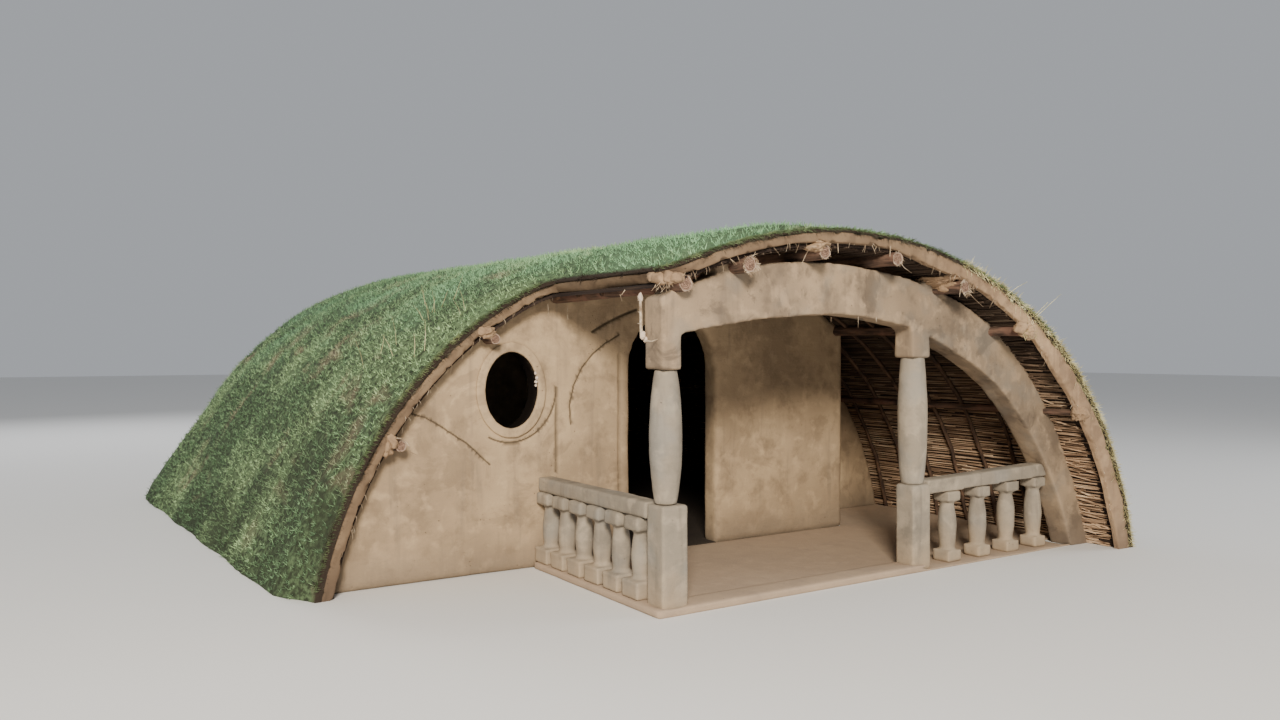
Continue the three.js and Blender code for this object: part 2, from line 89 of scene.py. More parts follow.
world = bpy.data.worlds.new("studio")
world.use_nodes = True
sky = world.node_tree.nodes["Background"]
sky.inputs["Color"].default_value = (0.86, 0.9, 0.96, 1)
sky.inputs["Strength"].default_value = 0.46
scene.world = world


# Three large soft lamps: a warm one from behind the camera, where the low sun
# stands in the photograph, and weaker cool ones from the right and the back.
def soft_lamp(name, place, target, size, power, colour):
    data = bpy.data.lights.new(name, "AREA")
    data.size = size
    data.energy = power
    data.color = colour
    lamp = new_object(name, data)
    lamp.location = place
    aim = Vector(target) - Vector(place)
    lamp.rotation_euler = aim.to_track_quat("-Z", "Y").to_euler()


soft_lamp("sun_side", (-9, -15, 7.5), (0, -1.5, 1), size=3, power=4500, colour=(1, 0.91, 0.78))
soft_lamp("shade_side", (12, -8, 7), (0, 0, 1), size=6, power=480, colour=(0.88, 0.94, 1))
soft_lamp("back_side", (-4, 14, 9), (0, 1, 1), size=7, power=900, colour=(0.95, 0.97, 1))


# The facade is one mass of clay, laid up wet and smoothed by hand. It has an
# oval window, a round-headed doorway, and lines drawn in the wet plaster.
def add(tree, kind, inputs, **settings):
    made = tree.nodes.new(kind)
    for name, value in settings.items():
        setattr(made, name, value)
    for socket, value in inputs.items():
        if isinstance(value, bpy.types.NodeSocket):
            tree.links.new(value, made.inputs[socket])
        else:
            made.inputs[socket].default_value = value
    return made


def new_paint(name, roughness, specular=0.25):
    paint = bpy.data.materials.new(name)
    paint.use_nodes = True
    shader = paint.node_tree.nodes["Principled BSDF"]
    shader.inputs["Roughness"].default_value = roughness
    shader.inputs["Specular IOR Level"].default_value = specular
    return paint, paint.node_tree, shader


def fade(tree, value, low, high, start=0.0, end=1.0):
    ends = {"Value": value, "From Min": low, "From Max": high, "To Min": start, "To Max": end}
    spread = add(tree, "ShaderNodeMapRange", ends, interpolation_type="SMOOTHSTEP")
    return spread.outputs["Result"]


def blend_colours(tree, share, first, second):
    mix = add(tree, "ShaderNodeMix", {}, data_type="RGBA")
    for socket, value in ((0, share), (6, first), (7, second)):
        if isinstance(value, bpy.types.NodeSocket):
            tree.links.new(value, mix.inputs[socket])
        elif socket == 0:
            mix.inputs[socket].default_value = value
        else:
            mix.inputs[socket].default_value = (*value, 1)
    return mix.outputs[2]


def wash(tree, colour, over, value, low, high, end=1.0, start=0.0):
    """Another colour laid over this one, by a share that follows a value from low to high."""
    return blend_colours(tree, fade(tree, value, low, high, start, end), colour, over)


def grain(tree, place, scale, detail=3.0, distortion=0.0, roughness=0.55):
    made = add(tree, "ShaderNodeTexNoise", {"Vector": place, "Scale": scale, "Detail": detail,
                                             "Distortion": distortion, "Roughness": roughness})
    return made.outputs["Fac"]


def sum_of(tree, *weighted):
    total = None
    for value, weight in weighted:
        part = add(tree, "ShaderNodeMath", {0: value, 1: weight}, operation="MULTIPLY").outputs[0]
        if total is None:
            total = part
        else:
            total = add(tree, "ShaderNodeMath", {0: total, 1: part}, operation="ADD").outputs[0]
    return total


def raise_surface(tree, shader, height, distance, strength):
    bump = add(tree, "ShaderNodeBump", {"Height": height, "Distance": distance, "Strength": strength})
    tree.links.new(bump.outputs["Normal"], shader.inputs["Normal"])


painted_shade_black = (0.009, 0.007, 0.006)


def clay_paint(name, pale, middle, dark, damp, cool=None, foot=None, stain_and_shadow_share=0.4):
    """Hand-smoothed clay: broad tones, dark blotches of stain and painted shadow, faint rain streaks, a damp
    foot, small pits, and painted shade with some dirt from an attribute.
    """
    paint, tree, shader = new_paint(name, 0.93)
    place = add(tree, "ShaderNodeTexCoord", {}).outputs["Object"]
    broad = grain(tree, place, 1.0, 3)
    patch = grain(tree, place, 4.2, 5, 0.1, 0.62)
    colour = blend_colours(tree, fade(tree, broad, 0.38, 0.64), middle, pale)
    colour = wash(tree, colour, dark, patch, 0.46, 0.7, 0.75)
    dry = grain(tree, place, 7.5, 4, 0.2)
    bright = tuple(part * 1.22 for part in pale)
    colour = wash(tree, colour, bright, dry, 0.5, 0.68, 0.5)
    # Dark blotches: partly real stains, partly painted dappled shadow.
    stain_and_shadow = grain(tree, place, 2.3, 6, 0.8, 0.65)
    colour = wash(tree, colour, dark, stain_and_shadow, 0.54, 0.61, stain_and_shadow_share)
    if cool:
        colour = wash(tree, colour, cool, grain(tree, place, 2.6, 3), 0.5, 0.66, 0.4)
    tall = add(tree, "ShaderNodeMapping", {"Vector": place, "Scale": (11.0, 11.0, 1.1)})
    streaks = grain(tree, tall.outputs["Vector"], 1.0, 3, 0.3)
    colour = wash(tree, colour, damp, streaks, 0.54, 0.74, 0.4)
    height = add(tree, "ShaderNodeSeparateXYZ", {"Vector": place}).outputs["Z"]
    ragged = sum_of(tree, (height, 1.0), (patch, 0.3), (streaks, 0.25))
    colour = wash(tree, colour, foot or damp, ragged, 0.26, 0.62, 0.0, start=0.7)
    speck = grain(tree, place, 130, 2)
    colour = wash(tree, colour, dark, speck, 0.6, 0.76, 0.35)
    pits = add(tree, "ShaderNodeTexVoronoi", {"Vector": place, "Scale": 26.0, "Randomness": 1.0})
    pit_share = fade(tree, pits.outputs["Distance"], 0.05, 0.13, 1.0, 0.0)
    pit_place = fade(tree, grain(tree, place, 6.0, 2), 0.56, 0.64)
    pit = add(tree, "ShaderNodeMath", {0: pit_share, 1: pit_place}, operation="MULTIPLY").outputs[0]
    colour = blend_colours(tree, sum_of(tree, (pit, 0.7)), colour, tuple(part * 0.45 for part in dark))
    # Painted shade, with some dirt in the drawn lines: the attribute turns the colour black and takes away
    # its sheen.
    dirt = add(tree, "ShaderNodeAttribute", {}, attribute_name="dirt").outputs["Fac"]
    colour = blend_colours(tree, dirt, colour, painted_shade_black)
    tree.links.new(fade(tree, dirt, 0.3, 1.0, 0.25, 0.0), shader.inputs["Specular IOR Level"])
    tree.links.new(colour, shader.inputs["Base Color"])
    swept = add(tree, "ShaderNodeMapping", {"Vector": place, "Scale": (4.0, 4.0, 15.0),
                                             "Rotation": (0.1, 0.3, 0.0)})
    strokes = grain(tree, swept.outputs["Vector"], 1.7, 3, 0.4)
    fine = grain(tree, place, 46, 4)
    relief = sum_of(tree, (strokes, 0.42), (fine, 0.24), (patch, 0.4), (pit, -0.5), (speck, 0.08))
    raise_surface(tree, shader, relief, 0.011, 0.8)
    return paint


def mesh_of(shape, name):
    mesh = bpy.data.meshes.new(name)
    shape.to_mesh(mesh)
    shape.free()
    return mesh


def plain_mesh(draft, name):
    graph = bpy.context.evaluated_depsgraph_get()
    mesh = bpy.data.meshes.new_from_object(draft.evaluated_get(graph), depsgraph=graph)
    mesh.name = name
    bpy.data.objects.remove(draft)
    return mesh


def mark_vertices(mesh, name, value_at):
    marks = mesh.attributes.new(name, "FLOAT", "POINT")
    for vertex, mark in zip(mesh.vertices, marks.data):
        mark.value = value_at(*vertex.co)


sharp_edge = math.radians(65)


def show(piece, mesh, paint, slot_name, *replaced):
    mesh.materials.clear()
    mesh.materials.append(paint)
    mesh.shade_smooth()
    mesh.set_sharp_from_angle(angle=sharp_edge)
    made = new_object(piece, mesh)
    if replaced:
        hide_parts(*replaced)
    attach(made, "root")


def wave(draft, size, depth, middle):
    cloud = bpy.data.textures.new(draft.name + "_wave", "CLOUDS")
    cloud.noise_scale = size
    cloud.noise_depth = 2
    push = draft.modifiers.new("wave", "DISPLACE")
    push.texture = cloud
    push.texture_coords = "LOCAL"
    push.strength = depth
    push.mid_level = middle


log_count = 9
clay_round_log = 0.014
plug_sides = 16
plug_set_in = 0.002


def pack_round_logs(shape, node_name):
    """Plugs of clay that close the wall round each log that runs through it."""
    low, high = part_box(node_name)
    depth = high.y - low.y - 2 * plug_set_in
    lying = Matrix.Rotation(math.pi / 2, 4, "X")
    for number in range(1, log_count + 1):
        log_low, log_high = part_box(f"purlin_{number}")
        centre = (log_low + log_high) / 2
        if low.x < centre.x < high.x and centre.z < high.z:
            centre.y = (low.y + high.y) / 2
            radius = (log_high.x - log_low.x) / 2 + clay_round_log
            bmesh.ops.create_cone(shape, cap_ends=True, segments=plug_sides, radius1=radius,
                                  radius2=radius, depth=depth, matrix=Matrix.Translation(centre) @ lying)


def worked_clay(node_names, voxel, rounding, waves, packed=False, middle=0.5, flatness=1.0):
    """The CAD solids as one mass of clay, with rounded edges and an uneven face."""
    shape = bmesh.new()
    for name in node_names:
        shape.from_mesh(nodes[name].data)
    bmesh.ops.remove_doubles(shape, verts=shape.verts, dist=0.0001)
    if packed:
        for name in node_names:
            pack_round_logs(shape, name)
    mesh = mesh_of(shape, "clay")
    mesh.transform(Matrix.Diagonal((1, 1, flatness, 1)))
    draft = new_object("clay", mesh)
    remesh = draft.modifiers.new("remesh", "REMESH")
    remesh.mode = "VOXEL"
    remesh.voxel_size = voxel
    smooth = draft.modifiers.new("smooth", "SMOOTH")
    smooth.factor = 0.5
    smooth.iterations = rounding
    for size, depth in waves:
        wave(draft, size, depth, middle)
    worked = plain_mesh(draft, "clay")
    worked.transform(Matrix.Diagonal((1, 1, 1 / flatness, 1)))
    return worked


wall_paint = clay_paint("wall_clay", pale=(0.43, 0.315, 0.195), middle=(0.32, 0.232, 0.145),
                        dark=(0.215, 0.155, 0.098), damp=(0.185, 0.143, 0.102))

wall_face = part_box("front_wall_left")[0].y
window_low, window_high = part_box("window_ring")
window_centre = ((window_low.x + window_high.x) / 2, (window_low.z + window_high.z) / 2)
window_half_width = 0.225
window_half_height = 0.294
painted_shade_reach = 1.05
painted_shade_starts_y = wall_face - 0.006
painted_shade_fade = 0.02
line_relief = 0.03


def arc_line(centre, radius_x, radius_z, start, end, steps=40):
    points = []
    for i in range(steps + 1):
        angle = math.radians(start + (end - start) * i / steps)
        points.append((centre[0] + radius_x * math.cos(angle), centre[1] + radius_z * math.sin(angle)))
    return points


door_groove_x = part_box("front_wall_over_door")[0].x + 0.023
arc_under_window = arc_line(window_centre, 0.368, 0.380, -118, 2)
upright_stroke = [(-1.219, 1.314), (-1.222, 1.057), (-1.219, 0.692)]
bow_stroke = [(-1.091, 1.045), (-1.103, 1.188), (-1.066, 1.337), (-0.996, 1.464), (-0.9, 1.57),
              (-0.785, 1.654), (-0.667, 1.716)]
falling_stroke = [(-2.328, 1.164), (-2.228, 1.133), (-2.127, 1.074), (-2.016, 0.999),
                  (-1.934, 0.946), (-1.873, 0.894), (-1.828, 0.849), (-1.75, 0.78)]
rising_stroke = [(-0.905, 1.738), (-0.794, 1.799), (-0.70, 1.843), (-0.60, 1.883), (-0.505, 1.916)]
door_groove = [(door_groove_x, 1.56), (door_groove_x, 0.06)]
# half width, depth, darkness (painted shade, with some dirt, in the line) and course of each line
drawn_lines = (
    (0.008, 0.009, 0.75, arc_under_window), (0.006, 0.006, 0.6, upright_stroke),
    (0.008, 0.008, 0.75, bow_stroke), (0.0075, 0.007, 0.75, falling_stroke),
    (0.013, 0.012, 0.75, rising_stroke), (0.018, 0.011, 0.22, door_groove),
)


def lines_from(x, z):
    """Each straight bit of the lines: its half width, depth, darkness and distance."""
    here = Vector((x, z))
    for width, depth, darkness, course in drawn_lines:
        for first, second in zip(course, course[1:]):
            start = Vector(first)
            along = Vector(second) - start
            share = max(0.0, min(1.0, (here - start).dot(along) / along.length_squared))
            yield width, depth, darkness, (here - start - along * share).length


def line_cut(x, z):
    """How deep a line is cut here, and how dark it is painted: painted shade, with some dirt."""
    deepest = darkest = 0.0
    for width, depth, darkness, distance in lines_from(x, z):
        away = distance / width
        if away < 1:
            deepest = max(deepest, depth * (1 - away * away))
            darkest = max(darkest, darkness * min(1.0, 1.4 * (1 - away * away)))
    return deepest, darkest


def line_near(x, z, reach):
    return any(distance < width + reach for width, depth, darkness, distance in lines_from(x, z))


def painted_shade_in_window(x, y, z):
    """Painted shade: the window's deep inner face is painted black."""
    across = (x - window_centre[0]) / window_half_width
    upward = (z - window_centre[1]) / window_half_height
    if math.hypot(across, upward) > painted_shade_reach:
        return 0.0
    return max(0.0, min(1.0, (y - painted_shade_starts_y) / painted_shade_fade))


def cut_drawn_lines(mesh):
    """The face is divided finely along the lines, and then pressed in and darkened there with painted shade
    and some dirt.
    """
    behind_face = wall_face + line_relief
    shape = bmesh.new()
    shape.from_mesh(mesh)
    for reach in (0.018, 0.009):
        near = set()
        for vertex in shape.verts:
            x, y, z = vertex.co
            if y < behind_face and line_near(x, z, reach):
                near.add(vertex)
        edges = [edge for edge in shape.edges if edge.verts[0] in near and edge.verts[1] in near]
        bmesh.ops.subdivide_edges(shape, edges=edges, cuts=1, use_grid_fill=True)
    dirt = shape.verts.layers.float.new("dirt")
    for vertex in shape.verts:
        x, y, z = vertex.co
        if y < behind_face:
            depth, vertex[dirt] = line_cut(x, z)
            vertex.co.y += depth
        vertex[dirt] = max(vertex[dirt], painted_shade_in_window(x, y, z))
    shape.to_mesh(mesh)
    shape.free()


facade_nodes = ("front_wall_left", "front_wall_over_door", "front_wall_right")
facade_mesh = worked_clay(facade_nodes, voxel=0.0262, rounding=2, waves=((0.5, 0.014), (0.12, 0.004)),
                          packed=True)
cut_drawn_lines(facade_mesh)
show("facade", facade_mesh, wall_paint, "clay_wall", *facade_nodes)

# The walls of the porch's deep corner and the back wall are laid up like the
# facade, of the same clay, and left plainer.
corner_nodes = ("porch_return_wall", "porch_recess_wall")
corner_mesh = worked_clay(corner_nodes, voxel=0.0291, rounding=2, waves=((0.5, 0.014),), packed=True)
show("porch_corner", corner_mesh, wall_paint, "clay_wall", *corner_nodes)
back_mesh = worked_clay(("back_wall",), voxel=0.0511, rounding=2, waves=((0.6, 0.02),))
show("back_face", back_mesh, wall_paint, "clay_wall", "back_wall")

# The window's moulding is a roll of clay, pressed on round the opening and
# smoothed into a flat ring. Its inner edge is painted black, as painted shade.
ring_mesh = worked_clay(("window_ring",), voxel=0.0072, rounding=6, waves=((0.2, 0.006), (0.03, 0.003)))
mark_vertices(ring_mesh, "dirt", painted_shade_in_window)
show("window_moulding", ring_mesh, wall_paint, "clay_wall", "window_ring")

# The arch over the porch is clay built up round bent poles. It stands on two
# square capitals of the same clay, rubbed smooth into it without a joint.
foot_height = 0.8
foot_starts_x = 2.0
foot_flare = 0.05
# The arch's clay is painted darker than the walls, with heavier blotches: partly its own stains, partly
# painted shade.
beam_paint = clay_paint("arch_clay", pale=(0.36, 0.265, 0.17), middle=(0.235, 0.175, 0.118),
                        dark=(0.125, 0.094, 0.068), damp=(0.13, 0.1, 0.076),
                        cool=(0.19, 0.175, 0.15), stain_and_shadow_share=0.75)
beam_nodes = ("arch_beam", "capital_left", "capital_right")
beam_mesh = worked_clay(beam_nodes, voxel=0.0167, rounding=3, waves=((0.4, 0.016), (0.1, 0.004)),
                        packed=True)
for vertex in beam_mesh.vertices:
    if vertex.co.x > foot_starts_x and vertex.co.z < foot_height:
        flare = (1 - vertex.co.z / foot_height) ** 1.5
        vertex.co.x += foot_flare * flare
        vertex.co.y -= foot_flare * flare
show("porch_arch", beam_mesh, beam_paint, "clay_wall", *beam_nodes)

# The porch floor is a slab of trodden clay, with a worn kerb at its outer edge.
# The floor of the room behind it is the same clay, painted almost black as the shade inside the room.
porch_clay = clay_paint("floor_clay", pale=(0.47, 0.35, 0.245), middle=(0.385, 0.285, 0.205),
                        dark=(0.29, 0.22, 0.17), damp=(0.25, 0.195, 0.155), foot=(0.36, 0.27, 0.19))
porch_floor_mesh = worked_clay(("porch_floor",), voxel=0.035, rounding=1,
                               waves=((0.45, 0.009), (0.1, 0.003)), middle=0.1, flatness=4)
show("porch_paving", porch_floor_mesh, porch_clay, "clay_floor", "porch_floor")
room_clay = clay_paint("room_clay", pale=(0.07, 0.052, 0.038), middle=(0.05, 0.037, 0.028),
                       dark=(0.034, 0.026, 0.02), damp=(0.03, 0.023, 0.018))


def cover(node_name, paint):
    for slot in nodes[node_name].material_slots:
        slot.material = paint


cover("room_floor", room_clay)

# Pedestals, columns, rails and balusters are a finer, greyer clay, built up in
# place and rubbed smooth. Their feet are washed with tan mud from the floor.
shaft_bulge = 0.22
shaft_starts = 0.16
shaft_share = 0.66
grey_paint = clay_paint("grey_clay", pale=(0.335, 0.28, 0.21), middle=(0.25, 0.213, 0.165),
                        dark=(0.175, 0.15, 0.118), damp=(0.14, 0.118, 0.094),
                        cool=(0.215, 0.213, 0.2), foot=(0.40, 0.30, 0.195))
for side in ("left", "right"):
    for part, voxel, rounding in (("pedestal", 0.0127, 4), ("column", 0.0117, 1), ("rail", 0.0125, 4)):
        node_name = f"{part}_{side}"
        part_mesh = worked_clay((node_name,), voxel, rounding, waves=((0.25, 0.009), (0.06, 0.002)))
        show(f"{side}_{part}", part_mesh, grey_paint, "clay_grey", node_name)
for side, count in (("left", 6), ("right", 4)):
    for number in range(1, count + 1):
        node_name = f"baluster_{side}_{number}"
        baluster_mesh = worked_clay((node_name,), voxel=0.0141, rounding=2, waves=((0.12, 0.007),))
        low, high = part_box(node_name)
        for vertex in baluster_mesh.vertices:
            share = (vertex.co.z - low.z) / (high.z - low.z)
            fuller = shaft_bulge * max(0.0, math.sin(math.pi * (share - shaft_starts) / shaft_share))
            vertex.co.x += fuller * (vertex.co.x - (low.x + high.x) / 2)
            vertex.co.y += fuller * (vertex.co.y - (low.y + high.y) / 2)
        show(f"{side}_baluster_{number}", baluster_mesh, grey_paint, "clay_grey", node_name)

# The roof's middle layer is mud, packed on wet in a thick sheet over the mats. Its
# rough edge shows all round, and hangs down as a lip at the porch's right side.
half_span = 2.945
crown_height = 2.335
shoulder_x = 2.615
shoulder_height = 1.65
haunch_x = 1.2
porch_front = -3.825
porch_skew = 0.23
side_front = -2.005
side_edge_x = -1.365
inner_round = 0.15
outer_round = 0.2
roof_back = 3.825
mud_half = 0.035
lip_depth = 0.041
lip_starts_x = 0.3
lip_at_haunch = 0.028
lip_more_at_foot = 0.057
edge_zone = 0.06
first_column = 0.012
rim_forward = 0.003
left_seam = -17 / 32
right_seam = 18 / 32
half_arch_length = 4.05


def arch_place(s, offset):
    """A place across the vault: s runs from -1 at the left foot to 1 at the right one."""
    side = -1 if s < 0 else 1
    t = 1 - abs(s)
    rest = 1 - t
    x = rest ** 3 * half_span + 3 * rest * rest * t * shoulder_x + 3 * rest * t * t * haunch_x
    z = 3 * rest * rest * t * shoulder_height + 3 * rest * t * t * crown_height + t ** 3 * crown_height
    slope_x = 3 * rest * rest * (shoulder_x - half_span) + 6 * rest * t * (haunch_x - shoulder_x)
    slope_x -= 3 * t * t * haunch_x
    slope_z = 3 * rest * rest * shoulder_height + 6 * rest * t * (crown_height - shoulder_height)
    length = math.hypot(slope_x, slope_z)
    if rest > 0.9999:
        return side * (half_span + offset * length / slope_z), 0.0
    return side * (x + offset * slope_z / length), z - offset * slope_x / length


def s_at(x):
    low, high = -1.0, 1.0
    for _ in range(40):
        middle = (low + high) / 2
        if arch_place(middle, 0)[0] < x:
            low = middle
        else:
            high = middle
    return (low + high) / 2


def ease(value):
    value = max(0.0, min(1.0, value))
    return value * value * (3 - 2 * value)


def porch_front_at(x):
    share = max(0.0, min(1.0, (x - side_edge_x) / (half_span - side_edge_x)))
    outside = max(0.0, side_edge_x + outer_round - x)
    corner = outer_round - math.sqrt(max(0.0, outer_round ** 2 - outside ** 2))
    return porch_front + porch_skew * (1 - share) + corner


def side_front_at(x):
    inside = max(0.0, x - side_edge_x + inner_round)
    return side_front - inner_round + math.sqrt(max(0.0, inner_round ** 2 - inside ** 2))


def uneven(x, y, z, size, seed=0.0):
    return noise.fractal(Vector((x, y, z)) / size + Vector((seed, seed, seed)), 0.9, 2.0, 3)


def roof_rows(reach, edge_rows, steps):
    between = (reach - 2 * edge_rows[-1]) / steps
    middle = [edge_rows[-1] + between * k for k in range(1, steps)]
    return edge_rows + middle + [reach - row for row in reversed(edge_rows)]


def close_end(shape, loop, rows_count, turned):
    """Faces over a sheet's cut end: the rounded front rim, then strips back along the rows."""
    last = 2 * rows_count - 1
    strips = [[loop[0]] + loop[:last - 1:-1] + [loop[last - 1], loop[1]]]
    for k in range(1, rows_count - 1):
        strips.append([loop[k], loop[last - k], loop[last - 1 - k], loop[k + 1]])
    for strip in strips:
        shape.faces.new(strip[::-1] if turned else strip)


def roof_sheet(shape, span, front_edge_at, faces_at, look, rolled_start):
    """One closed stretch of a roof layer: loops round its section, side by side along the arch."""
    s_start, s_end = span
    edge_rows, rough, roll_size = look["edge_rows"], look["rough"], look["roll_size"]
    columns = max(3, round(abs(s_end - s_start) * half_arch_length / look["spacing"]))
    marks = [s_start + (s_end - s_start) * i / columns for i in range(columns + 1)]
    if rolled_start:
        marks.insert(1, s_start + first_column / half_arch_length)
    deepest = roof_back - front_edge_at(arch_place(s_end, 0)[0])
    steps = round((deepest - 2 * edge_rows[-1]) / look["row_step"])
    loops = []
    for s in marks:
        x, z = arch_place(s, 0)
        front = front_edge_at(x)
        reach = roof_back - front
        rows = roof_rows(reach, edge_rows, steps)
        beside = (s - s_start) * half_arch_length if rolled_start else 1.0
        loop = []
        track = [(row, 0.0) for row in rows] + [(row, 1.0) for row in reversed(rows)]
        track += [(-rim_forward, share) for share in (0.85, 0.68, 0.5, 0.32, 0.15)]
        for row, share in track:
            y = front + row
            inner, outer = faces_at(x, y, z, row)
            flank = beside + ease((y - side_front) / 0.08)
            edge = min(row, reach - row, flank)
            roll = 0.6 * roll_size * (1 - ease(edge / roll_size)) if share in (0.0, 1.0) else 0.0
            offset = inner + (outer - inner) * share + (roll if share == 0.0 else -roll)
            place_x, place_z = arch_place(s, offset)
            near = 1 - ease(edge / edge_zone)
            chip = near * ease(5 * uneven(place_x, y, place_z, 0.09, 2.0) - 0.6)
            offset += rough * (2 * share - 1) * (0.5 * uneven(place_x, y, place_z, 0.4) - 0.6 * chip)
            y += rough * near * (0.4 * uneven(place_x, y, place_z, 0.25, 7.0)
                                 + 0.16 * uneven(place_x, y, place_z, 0.035, 4.0) + 0.3 * chip)
            place_x, place_z = arch_place(s, offset)
            if flank < edge_zone:
                place_x += rough * near * 0.4 * uneven(place_x, y, place_z, 0.2, 3.0)
            loop.append(shape.verts.new((place_x, y, max(place_z, 0.0))))
        loops.append(loop)
    for first, second in zip(loops, loops[1:]):
        for k in range(len(first)):
            after = (k + 1) % len(first)
            shape.faces.new((first[k], first[after], second[after], second[k]))
    close_end(shape, loops[0], len(rows), turned=False)
    close_end(shape, loops[-1], len(rows), turned=True)


edge_s = s_at(side_edge_x)
# the sheets of each stretch: its span along the arch, its front edge, and whether its start is rolled
stretches = {
    "left_side": (((-1.0, left_seam), side_front_at, False),),
    "left_top": (((left_seam, edge_s), side_front_at, False), ((edge_s, 0.0), porch_front_at, True)),
    "right_top": (((0.0, right_seam), porch_front_at, False),),
    "right_side": (((right_seam, 1.0), porch_front_at, False),),
}


def roof_mesh(stretch, faces_at, look):
    shape = bmesh.new()
    for span, front_edge_at, rolled_start in stretches[stretch]:
        roof_sheet(shape, span, front_edge_at, faces_at, look, rolled_start)
    return mesh_of(shape, stretch)


def mud_faces(x, y, z, row):
    lip = lip_at_haunch * ease((x - lip_starts_x) / 0.5) + lip_more_at_foot * ease((x - 1.6) / 0.7)
    hanging = lip if row < lip_depth else 0.0
    return -mud_half - hanging, mud_half


def mud_painted_shade(x, y, z):
    """Painted shade: the edge is painted darker at the left, most of all beside the porch."""
    flank = ease((side_front - y) / 0.3) * ease((side_edge_x + 0.12 - x) / 0.08)
    return 0.46 * (1 - ease((x - lip_starts_x) / 1.3)) + 0.2 * flank


mud_paint = clay_paint("edge_mud", pale=(0.37, 0.255, 0.155), middle=(0.285, 0.19, 0.115),
                       dark=(0.185, 0.12, 0.076), damp=(0.14, 0.095, 0.066))
mud_look = {"spacing": 0.0195, "row_step": 0.3, "rough": 0.022, "roll_size": 0.006,
            "edge_rows": [0.0, 0.004, 0.014, 0.03, 0.04, 0.045, 0.1, 0.22]}
for stretch in stretches:
    mud_mesh = roof_mesh(stretch, mud_faces, mud_look)
    mark_vertices(mud_mesh, "dirt", mud_painted_shade)
    show(f"mud_{stretch}", mud_mesh, mud_paint, "edge_mud", f"mud_roof_{stretch}")

# Living turf lies over the mud, thin at the roof's edges and deep at its feet.
# Its soil holds together by its roots, and its cut edges are dark and crumbly.
hump_height = 0.012
hump_size = 0.2
grass_height = 0.016
edge_thickness = 0.032
side_edge_extra = 0.035
edge_run = 0.35
front_thickness = 0.085
front_foot_extra = 0.08
back_thickness = 0.12
back_foot_extra = 0.29
crown_extra = 0.06
foot_top = 0.9
crown_bottom = 1.5
back_wall_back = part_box("back_wall")[1].y
bare_width = 0.008
bare_fade = 0.02


def turf_hump(x, height, y):
    across = math.sin(x / hump_size) * math.cos(y / hump_size)
    along = math.sin(y / hump_size) * math.cos(height / hump_size)
    upward = math.sin(height / hump_size) * math.cos(x / hump_size)
    return hump_height * (across + along + upward) / 1.5


def turf_thickness(x, height, y):
    inside_x = x - side_edge_x + inner_round
    inside_y = y - side_front + inner_round
    corner = math.hypot(max(inside_x, 0), max(inside_y, 0)) + min(max(inside_x, inside_y), 0) - inner_round
    edge_distance = min(corner, y - porch_front_at(x), roof_back - y)
    back = max(0.0, min(1.0, (y - porch_front) / (back_wall_back - porch_front)))
    foot = max(0.0, (foot_top - height) / foot_top)
    swell = max(0.0, (height - crown_bottom) / (crown_height - crown_bottom))
    front_depth = front_thickness + front_foot_extra * foot * foot
    back_depth = back_thickness + back_foot_extra * foot ** 1.5 + crown_extra * swell
    full = front_depth + (back_depth - front_depth) * back
    thin = edge_thickness + side_edge_extra * (1 - ease(swell))
    return thin + (full - thin + turf_hump(x, height, y)) * ease(edge_distance / edge_run)


def turf_faces(x, y, z, row):
    thickness = turf_thickness(x, z, y)
    lumps = 0.006 * uneven(x, y, z, 0.11, 5.0) * min(1.0, thickness / 0.08)
    return mud_half - 0.006, mud_half + thickness - grass_height * min(1.0, thickness / 0.05) + lumps


def turf_paint(name, dark, middle, light, dry, high):
    """Turf: dark between the blades, painted lighter and cooler high up and darker low down as painted light
    and shade, with dry patches and bare edges.
    """
    paint, tree, shader = new_paint(name, 1.0, 0.1)
    place = add(tree, "ShaderNodeTexCoord", {}).outputs["Object"]
    broad = grain(tree, place, 0.8, 3, 0.4)
    fine = grain(tree, place, 26, 3)
    finest = grain(tree, place, 95, 2)
    colour = blend_colours(tree, fade(tree, fine, 0.36, 0.6), dark, middle)
    light_share = sum_of(tree, (fine, 0.6), (broad, 0.7))
    colour = wash(tree, colour, light, light_share, 0.6, 0.8)
    dry_share = grain(tree, place, 1.7, 5, 0.9)
    colour = wash(tree, colour, dry, dry_share, 0.56, 0.7, 0.75)
    height = add(tree, "ShaderNodeSeparateXYZ", {"Vector": place}).outputs["Z"]
    # Painted light and shade: lighter and cooler high up, darker low down.
    painted_light_height = sum_of(tree, (height, 0.3), (grain(tree, place, 1.3, 4, 0.5), 1.4))
    colour = wash(tree, colour, high, painted_light_height, 1.1, 1.65, 0.75)
    colour = wash(tree, colour, dark, painted_light_height, 0.65, 1.0, 0.0, start=0.8)
    colour = wash(tree, colour, dark, finest, 0.5, 0.72, 0.5)
    bare = add(tree, "ShaderNodeAttribute", {}, attribute_name="bare").outputs["Fac"]
    colour = blend_colours(tree, bare, colour, (0.035, 0.026, 0.02))
    tree.links.new(colour, shader.inputs["Base Color"])
    raise_surface(tree, shader, sum_of(tree, (fine, 0.6), (finest, 0.4)), 0.02, 0.9)
    return paint


def bare_soil(x, y, z):
    """The cut front edge shows soil and roots, with no grass."""
    front = side_front_at(x) if x < side_edge_x else porch_front_at(x)
    return 1 - ease((y - front - bare_width) / bare_fade)


